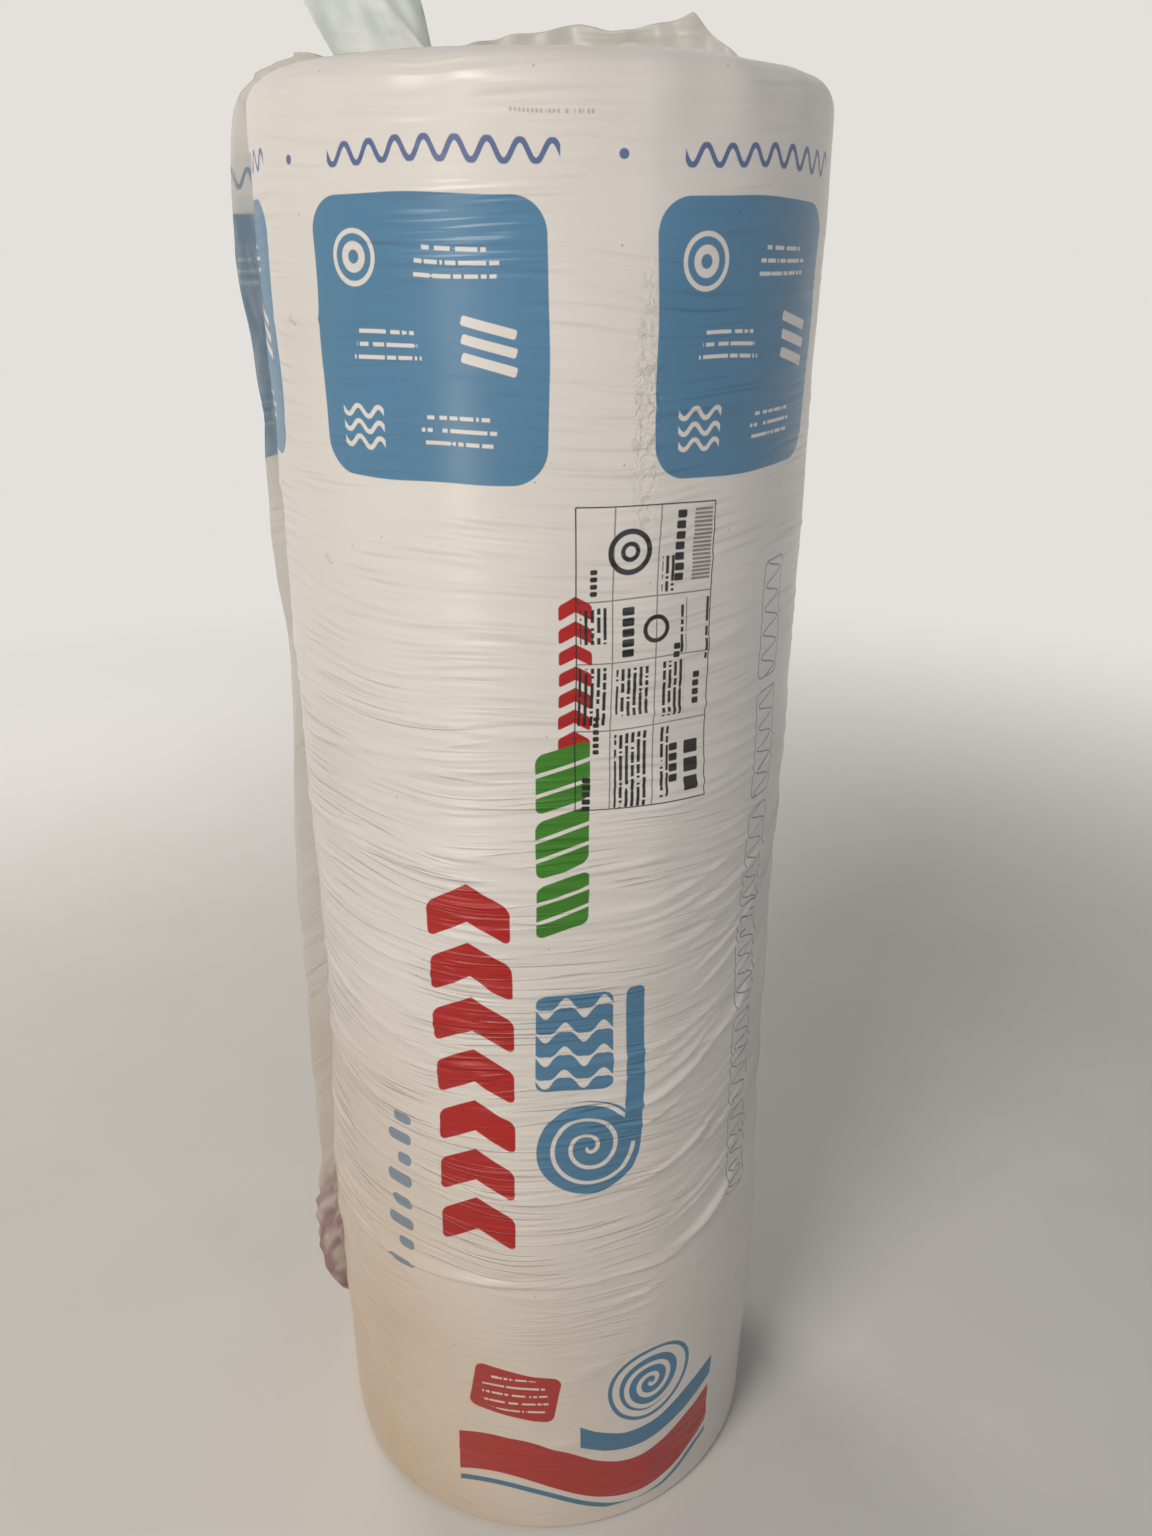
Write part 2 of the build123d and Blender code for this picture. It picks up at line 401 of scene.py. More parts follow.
# %% [markdown]
# ## The sleeve
#
# The sleeve is one sheet that goes right round, bends over the shoulder at the top and turns under
# at the base. A sheet with no thickness would be open at its ends, so the grid goes up the outside
# and comes back down a little way inside with few rows, and closes on itself like a tyre. Its
# columns are close together in front, where the print and the wrinkles are looked at, and wider
# apart behind. A grid shows a wrinkle sharply only where its rows run along it, so the rows climb
# to the right where the wrinkles do. Between the level wrinkles the shoulder is gathered, because
# the film there has to go round a smaller circle than the one it was cut for.

# %% Build film_sleeve
INNER_ROWS = 26
INNER_GAP = 0.003
FRONT_COLUMNS, BACK_COLUMNS = 112, 50

front_angles = np.linspace(172.0, 368.0, FRONT_COLUMNS, endpoint=False)
rear_angles = np.linspace(368.0, 532.0, BACK_COLUMNS, endpoint=False)
angles = np.sort(np.concatenate([front_angles, rear_angles]) - 14.0)
angles = angles - angles[0] + SEAM_ANGLE


def gathers(arc, length):
    """Soft folds that run over the shoulder and grow from nothing below it to about 1 mm on top.

    Two sines of the angle, one with 22 folds round the roll and one that makes them come and go.
    """
    rng = np.random.default_rng(23)
    strength = smooth_step(1.13, 1.205, length)
    wander = 0.35 * soft_noise(arc, length * 0, 0.12, 0.3, seed=24)
    swell = 0.6 + 0.4 * np.sin(5 * arc / ROLL_RADIUS + rng.uniform(0, 6))
    return strength * 0.0011 * (np.sin(22 * arc / ROLL_RADIUS + wander) * swell)


def film_sleeve():
    """Outer skin: the profile moved along its normal by body form, creases and gathers.

    The inner skin is the plain profile 3 mm in, and follows the body form where that goes inwards.
    The relief fades out at the base and on the lip, where the pleated ends join on.
    """
    radius, height, normal_out, normal_up, length = sleeve_profile(WALL_ROWS)
    arc = film_arc(angles)[None, :] + np.zeros((len(length), 1))
    level = length[:, None] + np.zeros((1, len(angles)))
    climb = climb_to_the_right(arc, level)
    along = level + climb
    form = body_form(arc, along)
    relief = form + crease_field(arc, along, level) + gathers(arc, along)
    foot_fade = smooth_step(0.004, 0.03, length)[:, None]
    lip_fade = 1 - 0.97 * smooth_step(1.19, 1.212, length)[:, None]
    relief *= foot_fade * lip_fade
    theta = np.radians(angles)[None, :]
    out = radius[:, None] + normal_out[:, None] * relief
    up = height[:, None] + climb + normal_up[:, None] * relief
    outer = np.stack([out * np.cos(theta), out * np.sin(theta), np.maximum(up, 0.0)], axis=-1)
    chosen = np.linspace(len(length) - 2, 2, INNER_ROWS).astype(int)
    low_form = form[chosen] * foot_fade[chosen]
    inner_out = radius[chosen, None] - INNER_GAP * np.maximum(normal_out[chosen, None], 0.2)
    inner_out = inner_out + np.minimum(low_form, 0)
    inner_up = height[chosen, None] + climb[chosen] - INNER_GAP * normal_up[chosen, None]
    inner_up = np.clip(inner_up, 0.001, ROLL_HEIGHT - 0.001)
    inner = np.stack([inner_out * np.cos(theta), inner_out * np.sin(theta), inner_up], axis=-1)
    points = np.concatenate([outer, inner])
    u = np.append(film_arc(angles), film_arc(angles[0] + 360.0))
    v = np.concatenate([along, along[chosen], along[:1]])
    v = np.concatenate([v, v[:, :1]], axis=1)
    film_map = np.stack(np.broadcast_arrays(u[None, :], v), axis=-1)
    return grid_piece("film_sleeve", points, film_map, ring=True, tube=True)


sleeve = film_sleeve()

# %% [markdown]
# ## The pleated ends
#
# The sleeve is 1257 mm round and the opening in each end only 377 mm, so the film is laid in
# pleats: forward, back under itself, and forward again, as a paper fan is folded. The grid follows
# the film through those folds. Each of the 24 pleats has 15 columns: eight go forward on top, four
# come back beneath, and three go forward below to the next pleat. How far it doubles back is half
# of what the film has too much at that radius. Displacement along the normal couldn't fold a
# surface over itself, and it would stretch the film instead of laying it.

# %% Build film_top and film_base
PLEATS = 24
PLEAT_RISE = 0.0016
# A pleat's columns in its three layers: the share of each layer's way, and the share of the rise
PLEAT_TOP = np.array([0.0, 0.05, 0.12, 0.28, 0.55, 0.82, 0.95, 1.0])
PLEAT_TOP_RISE = np.array([0.0, 0.45, 0.85, 1.0, 1.0, 1.0, 0.98, 0.86])
PLEAT_BACK = np.array([0.12, 0.5, 0.88, 1.0])
PLEAT_BACK_RISE = np.array([0.62, 0.52, 0.40, 0.25])
PLEAT_UNDER = np.array([0.12, 0.5, 0.92])
PLEAT_UNDER_RISE = np.array([0.18, 0.30, 0.44])


def pleated_end(radii, seed, layer):
    """Angle, rise and film arc of a ring of pleats at each radius.

    A pleat spans a 24th of the circle. The film there is longer than the span by twice the fold, so
    it goes forward to the middle plus half the fold, back by the fold, and forward to the end. The
    pleats differ a little in width, lean and thickness, and all of them sway as the radius shrinks.
    """
    rng = np.random.default_rng(seed)
    film = 2 * math.pi * ROLL_RADIUS / PLEATS
    jitter = 1 + 0.10 * rng.normal(size=PLEATS)
    lean = 0.10 * rng.normal(size=PLEATS)
    span = 2 * math.pi * radii[:, None] / PLEATS
    fold = np.clip((film * jitter[None, :] - span) / 2, 0.0012, 0.90 * span)
    tip = (span + fold) / 2
    heel = tip - fold
    forward_part = tip[..., None] * PLEAT_TOP
    back_part = tip[..., None] - fold[..., None] * PLEAT_BACK
    under_part = heel[..., None] + (span - heel)[..., None] * PLEAT_UNDER
    place = np.concatenate([forward_part, back_part, under_part], axis=-1)
    rises = np.concatenate([PLEAT_TOP_RISE, PLEAT_BACK_RISE, PLEAT_UNDER_RISE])
    full = smooth_step(0.012, 0.085, tent_foot + 0.004 - radii)
    rise = (0.0007 + layer * full[:, None, None]) * rises * (0.8 + 0.25 * rng.random(PLEATS))[None, :, None]
    sway = np.cumsum(rng.normal(0, 0.10, len(radii)))[:, None, None]
    turn = sway * 0.02 + (lean[None, :] * full[:, None])[..., None] * 0.5
    angle = 2 * math.pi * (np.arange(PLEATS)[None, :, None] / PLEATS) + place / radii[:, None, None]
    angle = angle + turn * 2 * math.pi / PLEATS
    shape = len(radii), PLEATS * len(rises)
    arc = (np.arange(shape[1]) / shape[1])[None, :] * 2 * math.pi * ROLL_RADIUS + np.zeros(shape)
    return angle.reshape(shape), rise.reshape(shape), arc


def tent(radius, angle):
    """Height of the top film over the rim: it rises evenly inwards, much less in front, with soft lumps."""
    inward = np.clip(tent_foot - radius, 0, None)
    slope = TENT_RISE / (tent_foot - HEM_RADIUS)
    from_front = (np.degrees(angle) + 105.0 + 180.0) % 360.0 - 180.0
    slope = slope * (1 - 0.66 * np.exp(-((from_front / 80.0) ** 2)))
    rise = slope * inward * smooth_step(-0.004, 0.022, inward)
    lumps = 0.0020 * np.sin(3 * angle + 0.6 + 18 * radius) + 0.0012 * np.sin(5 * angle + 2.1 - 30 * radius)
    return rise + lumps * smooth_step(0.004, 0.05, inward)


def ends_map(arc, start, radii):
    """Film map of a pleated end: arc round the roll, and the length that goes on from the rim inwards."""
    arc = np.concatenate([arc, arc[:, :1] + 2 * math.pi * ROLL_RADIUS], axis=1) + film_arc(SEAM_ANGLE)
    return np.stack(np.broadcast_arrays(arc, (start + (tent_foot - radii))[:, None]), axis=-1)


def film_top():
    """Pleats laid on the tent of film over the top, from the sleeve's lip to a wavy hem."""
    share = np.linspace(0, 1, 27)
    radii = TOP_PLEATS_EDGE - share * (TOP_PLEATS_EDGE - HEM_RADIUS)
    angle, rise, arc = pleated_end(radii, seed=3, layer=PLEAT_RISE)
    hem = HEM_RADIUS + 0.004 * np.sin(2 * angle + 1.0) + 0.003 * np.sin(5 * angle)
    radius = TOP_PLEATS_EDGE - share[:, None] * (TOP_PLEATS_EDGE - hem)
    on_the_lip = 1 - smooth_step(0.0, 0.005, TOP_PLEATS_EDGE - radius)
    height = ROLL_HEIGHT + 0.0002 + tent(radius, angle) + rise * (1 - 0.7 * on_the_lip)
    points = np.stack([radius * np.cos(angle), radius * np.sin(angle), height], axis=-1)
    return grid_piece("film_top", points, ends_map(arc, TOP_PLEATS_MAP, radius[:, 0]), ring=True)


def film_base():
    """The same pleats under the base, pressed flat between the roll and the floor."""
    share = np.linspace(1, 0, 22)
    radii = BASE_PLEATS_EDGE - share * (BASE_PLEATS_EDGE - HEM_RADIUS)
    angle, rise, arc = pleated_end(radii, seed=4, layer=PLEAT_RISE)
    hem = HEM_RADIUS + 0.003 * np.sin(3 * angle + 0.5)
    radius = BASE_PLEATS_EDGE - share[:, None] * (BASE_PLEATS_EDGE - hem)
    settle = 0.0026 * smooth_step(0.0, 0.02, BASE_PLEATS_EDGE - radius) + 0.0006
    points = np.stack([radius * np.cos(angle), radius * np.sin(angle), settle - rise], axis=-1)
    return grid_piece("film_base", points, ends_map(arc, BASE_PLEATS_MAP, radius[:, 0]), ring=True)


top = film_top()
base = film_base()

# %% [markdown]
# ## The loose lap
#
# The sleeve's lengthwise edge has come away on the left. The film stays on the wall to about 157
# degrees and then leaves it along the tangent, because tight film that is let go runs straight. So
# a level cut through the lap is an arc and then a straight line, and how early it leaves sets how
# far its edge stands out. The photograph gives that at some twenty heights. A thin sheet is
# modelled without thickness, and Solidify gives it one, with the second skin in a material of its
# own: the print shows only faintly through the back, and the lap's back is painted lighter than the
# film's white, as painted light on its inner side, which the lamps barely reach.

# %% Build film_lap
# Height, and how far out from the axis the free edge stands, both in mm and read along the edge
LAP_EDGE = [
    (87, 204), (92, 214), (103, 226), (125, 231), (148, 233), (200, 229), (251, 224), (265, 218),
    (307, 221), (379, 222), (447, 220), (513, 220), (605, 215), (660, 211), (739, 210), (777, 209),
    (813, 212), (849, 216), (884, 216), (948, 212), (974, 211), (1015, 215), (1054, 220), (1088, 223),
    (1115, 221), (1150, 218), (1179, 214),
]
# The same over the shoulder, and the radius in metres of the arc that the lap leaves there
LAP_HEAD = [
    (1188, 212, 0.2),
    (1197, 206, 0.1985),
    (1202, 201, 0.1935),
    (1208, 190, 0.1845),
    (1212, 181, 0.176),
    (1216, 172, 0.168),
    (1219, 164, 0.160),
    (1218, 155, 0.152),
    (1211, 148, 0.146),
]
LAP_ROWS = 420
LAP_COLUMNS = 34
LAP_ROOT = 141.0


def lap_sections():
    """Free edge's height and reach and the wall's radius at each row, evenly spaced along the free edge.

    The points that were read are joined by straight lines, and a bell nine rows wide rounds them.
    """
    wall = [(h, x, 1000 * ROLL_RADIUS) for h, x in LAP_EDGE]
    edge = np.array(wall + [(h, x, r * 1000) for h, x, r in LAP_HEAD]) / 1000
    travel = np.concatenate([[0], np.cumsum(np.hypot(np.diff(edge[:, 0]), np.diff(edge[:, 1])))])
    even = np.linspace(0, travel[-1], LAP_ROWS)
    values = np.stack([np.interp(even, travel, edge[:, k]) for k in range(3)])
    kernel = np.exp(-np.linspace(-2, 2, 9) ** 2)
    padded = np.pad(values, ((0, 0), (4, 4)), mode="reflect", reflect_type="odd")
    smooth = np.stack([np.convolve(row, kernel / kernel.sum(), mode="valid") for row in padded])
    return (*smooth, even)


def film_lap():
    """Each level cut is an arc on the wall and then its tangent, to where the free edge is seen at y = 0.

    On the wall the lap follows the relief under it, 1.2 mm out. Off the wall it waves, most of all
    at its lower corner and over the shoulder, where it is crumpled.
    """
    height, reach, radius, along = lap_sections()
    leave = 180.0 - np.degrees(np.arccos(np.clip(radius / np.maximum(reach, radius + 0.0005), 0, 0.99999)))
    share = np.linspace(0, 1, LAP_COLUMNS)[None, :]
    leave, radius, height, along = (x[:, None] for x in (leave, radius, height, along))
    on_wall = radius * np.radians(leave - LAP_ROOT)
    straight = radius * np.tan(np.radians(180.0 - leave))
    straight = straight + 0.003 * soft_noise(along, 0 * along, 0.20, 0.2, seed=31, waves=9)
    straight = np.maximum(straight, 0.004)
    total = on_wall + straight
    travelled = share * total
    angle = np.radians(LAP_ROOT) + np.minimum(travelled, on_wall) / radius
    beyond = np.maximum(travelled - on_wall, 0)
    free = beyond / np.maximum(straight, 1e-4)
    above_bend = np.clip(np.clip(radius, tent_foot, None) - tent_foot, 0, SHOULDER)
    shoulder = wall_top + np.sqrt(SHOULDER**2 - above_bend**2) + 0.001
    beside = np.where(height > wall_top, shoulder, height) + np.clip(tent_foot - radius, 0, None) * 0.2
    z = beside + (height - beside) * smooth_step(0.15, 0.95, share)
    z = z - 0.030 * (1 - free) * smooth_step(0.22, 0.087, height)
    arc = film_arc(np.degrees(angle) + 360.0)
    wall = (body_form(arc, z) + crease_field(arc, z, z)) * (1 - smooth_step(1.165, 1.185, height))
    waves = 0.0028 * np.sin(math.pi * np.clip(free, 0, 1)) * soft_noise(along, travelled, 0.12, 0.11, seed=32)
    waves = waves + 0.0006 * free * soft_noise(along, travelled, 0.05, 0.06, seed=33)
    crumple = smooth_step(0.27, 0.20, height) + smooth_step(1.17, 1.20, height)
    waves = waves + 0.0018 * free * crumple * soft_noise(along, travelled, 0.019, 0.024, seed=34)
    lift = 0.0012 + wall * (1 - free) + waves
    x = (radius + lift) * np.cos(angle) - beyond * np.sin(angle)
    y = (radius + lift) * np.sin(angle) + beyond * np.cos(angle)
    points = np.stack([x, y, z], axis=-1)
    u = film_arc(LAP_ROOT) + 0.032 + travelled
    up_the_film = 0.087 + np.minimum(along, 0.872) + 0.955 * np.maximum(along - 0.872, 0)
    film_map = np.stack(np.broadcast_arrays(u, up_the_film), axis=-1)
    piece = grid_piece("film_lap", points, film_map)
    return piece, float(np.median(total)), float(along[-1, 0])


lap, lap_width, lap_length = film_lap()
print("lap is", round(lap_width, 3), "by", round(lap_length, 3), "m of film")

# %% [markdown]
# ## The hem and the torn strip on top
#
# At the back of the top the sleeve's hem stands up out of the pleats and ends in a raised corner,
# and beside it a torn strip of clear film leans to the left. Both are narrow sheets that stand
# along an arc in plan. Their rows run along that arc and their columns go up, and small waves
# across the sheet keep them from looking cut out of card.

# %% Build film_hem and film_strip
def arc_through(points, share):
    """Points of the circle through three points in plan, at shares of its angle from first to last."""
    (ax, ay), (bx, by), (cx, cy) = points
    d = 2 * (ax * (by - cy) + bx * (cy - ay) + cx * (ay - by))
    sa, sb, sc = ax * ax + ay * ay, bx * bx + by * by, cx * cx + cy * cy
    ox = (sa * (by - cy) + sb * (cy - ay) + sc * (ay - by)) / d
    oy = (sa * (cx - bx) + sb * (ax - cx) + sc * (bx - ax)) / d
    turns = np.unwrap([math.atan2(y - oy, x - ox) for x, y in points])
    angle = turns[0] + (turns[2] - turns[0]) * share
    size = math.hypot(ax - ox, ay - oy)
    return ox + size * np.cos(angle), oy + size * np.sin(angle)


def in_from_foot(inward_mm, degrees):
    """Point in plan this far in from the foot of the tent, at this angle from +X."""
    radius = tent_foot - inward_mm / 1000
    return radius * math.cos(math.radians(degrees)), radius * math.sin(math.radians(degrees))


# The hem's upper edge as the photograph shows it: X and height, in mm
HEM_X = [
    -112, -95, -82, -58, -45, -34, -23, -12, 0, 14, 26, 31, 40, 54, 64, 74,
    84, 96, 107, 113, 121, 129, 137, 147, 153,
]
HEM_TOP = [
    1216, 1222, 1228, 1233, 1236, 1239, 1241, 1243, 1245, 1247.5, 1249.5, 1249.5, 1247.5, 1245, 1246, 1247,
    1248, 1251, 1253.5, 1255.5, 1248.5, 1242, 1235, 1226, 1221,
]


def film_hem():
    """Rows along the hem's arc in plan, columns from inside the tent up to the edge that was read."""
    share = np.linspace(0, 1, 190)
    x, y = arc_through([in_from_foot(51, 151), in_from_foot(81, 78), in_from_foot(13, 23)], share)
    edge = np.interp(x, np.array(HEM_X) / 1000, np.array(HEM_TOP) / 1000)
    edge = edge + 0.0007 * soft_noise(x, 0 * x, 0.02, 0.2, seed=41)
    up = np.linspace(0, 1, 26)
    foot = ROLL_HEIGHT - 0.008
    z = foot + (edge[:, None] - foot) * up[None, :]
    sway = 0.0050 * up[None, :] * soft_noise(x[:, None], z, 0.07, 0.06, seed=42)
    sway = sway + 0.0018 * up[None, :] * soft_noise(x[:, None], z, 0.022, 0.05, seed=43)
    points = np.stack([x[:, None] + 0 * z, y[:, None] + sway, z], axis=-1)
    film_map = np.stack([x[:, None] + 0.25 + 0 * z, z + 0.02], axis=-1)
    return grid_piece("film_hem", points[::-1], film_map[::-1])


# The strip's left edge, fold and right edge as straight lines: X at a height, and X lost for each metre up
STRIP_LEFT, STRIP_FOLD, STRIP_RIGHT = (-0.1510, 1.224, 0.62), (-0.0860, 1.231, 0.95), (-0.0815, 1.232, 0.30)


def leaning(line, z):
    """X of a straight line at each height: its X less its lean times the height above its point."""
    x, height, lean = line
    return x - lean * (z - height)


def film_strip():
    """Between two leaning edges, each a straight line up the photograph, with a fold line between them.

    The front panel reaches from the left edge to the fold line, and behind it the rest turns back
    and away to the right edge. Long soft folds run up it, side by side, from its foot to its end.
    """
    up = np.linspace(0, 1, 70)[:, None]
    z = ROLL_HEIGHT - 0.012 + 0.108 * up
    left = leaning(STRIP_LEFT, z) + 0.0015 * np.sin(60 * z)
    fold = leaning(STRIP_FOLD, z)
    right_edge = leaning(STRIP_RIGHT, z) + 0.0012 * np.sin(75 * z + 1)
    front = np.linspace(0, 1, 30)[None, :]
    behind = np.linspace(0, 1, 16)[None, 1:]
    x = np.concatenate([left + (fold - left) * front, fold + (right_edge - fold) * behind], axis=1)
    bowed = 0.074 + 0.010 * front + 0.005 * np.sin(math.pi * front)
    y = np.concatenate([bowed + 0 * z, 0.084 + 0.022 * behind + 0 * z], axis=1)
    y = y + 0.0030 * np.sin(46 * z + 30 * x) + 0.0011 * soft_noise(x - left, z, 0.017, 0.10, seed=44)
    z = z + 0 * x + 0.007 * smooth_step(0.85, 1.0, up) * np.sin(30 * x + 5)
    steps = np.hypot(np.diff(x, axis=1), np.diff(y, axis=1))
    across = np.cumsum(np.concatenate([np.zeros((len(up), 1)), steps], axis=1), axis=1)
    points = np.stack([x, y, z], axis=-1)
    film_map = np.stack([0.5 + across, z + 0.02], axis=-1)
    return grid_piece("film_strip", points, film_map)


hem = film_hem()
strip = film_strip()

# %% [markdown]
# ## The wool
#
# The felt shows only through the two round openings, as the end of a wound roll: its turns lie
# round each other as a spiral, with a small hole in the middle where the mandrel was. A profile
# turned about the axis gives the body, and the spiral is one formula on its ends: the distance from
# the spiral is what is left of the radius after whole turns are taken off.

# %% Build wool_felt
WOOL_BORE = 0.02
TURN = 0.032
WOOL_RADIUS = 0.193


def wool_felt():
    """Closed ring of rows: up the bore, out over the top, down the wall and in under the base.

    A turn's place is the radius over the turn's thickness less the share of a full angle. Between
    two turns the ends sink by 5 mm, as a bell of the distance from the whole numbers.
    """
    out = np.concatenate([np.linspace(WOOL_BORE, 0.072, 53), np.linspace(0.080, WOOL_RADIUS, 12)])
    wall = np.linspace(1.175, 0.027, 24)[1:-1]
    bore = np.linspace(0.012, 1.19, 12)[1:-1]
    radius = np.concatenate([out, np.full(len(wall), WOOL_RADIUS), out[::-1], np.full(len(bore), WOOL_BORE)])
    height = np.concatenate([np.full(len(out), 1.1965), wall, np.full(len(out), 0.0045), bore])
    end = np.concatenate([np.ones(len(out)), np.zeros(len(wall)), -np.ones(len(out)), np.zeros(len(bore))])
    theta = np.linspace(0, 2 * math.pi, 200, endpoint=False)
    turn = (radius[:, None] - WOOL_BORE) / TURN - theta[None, :] / (2 * math.pi)
    gap = np.abs(turn - np.round(turn)) * TURN
    sunk = 0.0055 * np.exp(-((gap / 0.0026) ** 2)) + 0.0012 * np.abs(np.sin(2 * math.pi * turn * 4))
    wide = radius[:, None] * 6
    tuft = 0.0005 * soft_noise(wide * np.cos(theta), wide * np.sin(theta), 0.05, 0.05, seed=51)
    edge = smooth_step(WOOL_RADIUS, WOOL_RADIUS - 0.01, radius)[:, None]
    rounded = 0.022 - np.sqrt(0.022**2 - np.clip(radius - (WOOL_RADIUS - 0.022), 0, 0.022) ** 2)
    z = height[:, None] - end[:, None] * ((np.abs(sunk) + 0.001 + tuft) * edge + rounded[:, None])
    points = np.stack([radius[:, None] * np.cos(theta), radius[:, None] * np.sin(theta), z], axis=-1)
    length = np.concatenate([[0], np.cumsum(np.hypot(np.diff(radius), np.diff(height)))])
    u = np.append(theta, 2 * math.pi) * ROLL_RADIUS
    v = np.append(length, length[-1] + 0.1)
    film_map = np.stack(np.broadcast_arrays(u[None, :], v[:, None]), axis=-1)
    return grid_piece("wool_felt", points[::-1], film_map[::-1], ring=True, tube=True)


wool = wool_felt()

# %% [markdown]
# ## The print, block by block
#
# The sleeve is printed by flexo in a few flat inks. An image could hold it, but here each mark is a
# formula on the film's map in millimetres: a rounded block is the distance to a smaller box less
# its corner, a ring is the distance to a circle, a wave is a height less a sine. Such a distance is
# turned to ink over 0.6 mm by one clamped Math node, so edges stay clean at any distance. Each
# formula is a node group, made once and used for many marks. The marks are this lesson's own plain
# pattern of blocks, chevrons, rings and waves. The print is worked out at every point that a ray
# meets, hundreds of nodes each time, so only the few blocks that are turned have the node that turns.

# %% Node groups for the marks
# Width of an ink's soft edge in mm, and a depth that leaves only arc and height to count
INK_EDGE = 0.6
DEEP = 99.0


def inked(tree, distance):
    """Ink from the distance to a mark's edge in mm: none from 0.3 outside it, all from 0.3 inside it."""
    per_mm = -1 / INK_EDGE
    return node(tree, "Math.MULTIPLY_ADD", distance, per_mm, 0.5, use_clamp=True)


def mark_group(name, numbers, points):
    """Empty node group that takes a Point on the film in mm, further points and numbers, and gives Ink."""
    tree = bpy.data.node_groups.new(name, "ShaderNodeTree")
    tree.interface.new_socket("Ink", in_out="OUTPUT", socket_type="NodeSocketFloat")
    for label in ["Point", *points]:
        tree.interface.new_socket(label, in_out="INPUT", socket_type="NodeSocketVector")
    for label in numbers:
        tree.interface.new_socket(label, in_out="INPUT", socket_type="NodeSocketFloat")
    source = tree.nodes.new("NodeGroupInput")
    sink = tree.nodes.new("NodeGroupOutput")
    return tree, source.outputs, sink.inputs["Ink"]


def block_group():
    """Rounded block: the distance to the inner box less the corner.

    Half is half its size, and so deep that only arc and height count.
    """
    tree, given, ink = mark_group("printed_block", ["Corner"], ["Centre", "Half"])
    local = node(tree, "VectorMath.SUBTRACT", given["Point"], given["Centre"])
    size = node(tree, "VectorMath.ABSOLUTE", local)
    inner = node(tree, "VectorMath.SUBTRACT", given["Half"], given["Corner"])
    past = node(tree, "VectorMath.SUBTRACT", size, inner)
    past = node(tree, "VectorMath.MAXIMUM", past, (0, 0, 0))
    away = node(tree, "VectorMath.LENGTH", past, out=1)
    distance = node(tree, "Math.SUBTRACT", away, given["Corner"])
    tree.links.new(inked(tree, distance), ink)
    return tree


def turned_block_group():
    """The same block, turned: the point is turned the other way about its centre first."""
    tree, given, ink = mark_group("printed_turned_block", ["Corner", "Turn"], ["Centre", "Half"])
    about = {"Vector": given["Point"], "Center": given["Centre"], "Angle": given["Turn"]}
    feeds = {"Point": node(tree, "VectorRotate", about, rotation_type="Z_AXIS")}
    feeds.update({name: given[name] for name in ("Centre", "Half", "Corner")})
    tree.links.new(node(tree, "Group", feeds, node_tree=BLOCK), ink)
    return tree


def ring_group():
    """Ring: how far the distance to the centre is from the radius, less half the width."""
    tree, given, ink = mark_group("printed_ring", ["Radius", "Width"], ["Centre"])
    away = node(tree, "VectorMath.DISTANCE", given["Point"], given["Centre"], out=1)
    off = node(tree, "Math.SUBTRACT", away, given["Radius"])
    off = node(tree, "Math.ABSOLUTE", off)
    half = node(tree, "Math.MULTIPLY", given["Width"], 0.5)
    distance = node(tree, "Math.SUBTRACT", off, half)
    tree.links.new(inked(tree, distance), ink)
    return tree


def wave_group():
    """Level waves: the height less a sine of the arc, folded at each spacing, less half the line's width.

    That height is measured straight up, so it is divided by the square root of 1 plus the wave's
    slope squared, and the line is as wide on the slopes as on the crests.
    """
    tree, given, ink = mark_group("printed_waves", ["Rise", "Wavelength", "Spacing", "Width"], ["Centre"])
    local = node(tree, "VectorMath.SUBTRACT", given["Point"], given["Centre"])
    arc, height, _ = node(tree, "SeparateXYZ", local).node.outputs
    turn = node(tree, "Math.DIVIDE", arc, given["Wavelength"])
    turn = node(tree, "Math.MULTIPLY", turn, 2 * math.pi)
    sine = node(tree, "Math.SINE", turn)
    off = node(tree, "Math.MULTIPLY_ADD", sine, given["Rise"], height)
    folded = node(tree, "Math.PINGPONG", off, given["Spacing"])
    cosine = node(tree, "Math.COSINE", turn)
    slope = node(tree, "Math.DIVIDE", given["Rise"], given["Wavelength"])
    slope = node(tree, "Math.MULTIPLY", slope, 2 * math.pi)
    slope = node(tree, "Math.MULTIPLY", slope, cosine)
    slope = node(tree, "Math.MULTIPLY_ADD", slope, slope, 1.0)
    slope = node(tree, "Math.SQRT", slope)
    folded = node(tree, "Math.DIVIDE", folded, slope)
    half = node(tree, "Math.MULTIPLY", given["Width"], 0.5)
    distance = node(tree, "Math.SUBTRACT", folded, half)
    tree.links.new(inked(tree, distance), ink)
    return tree


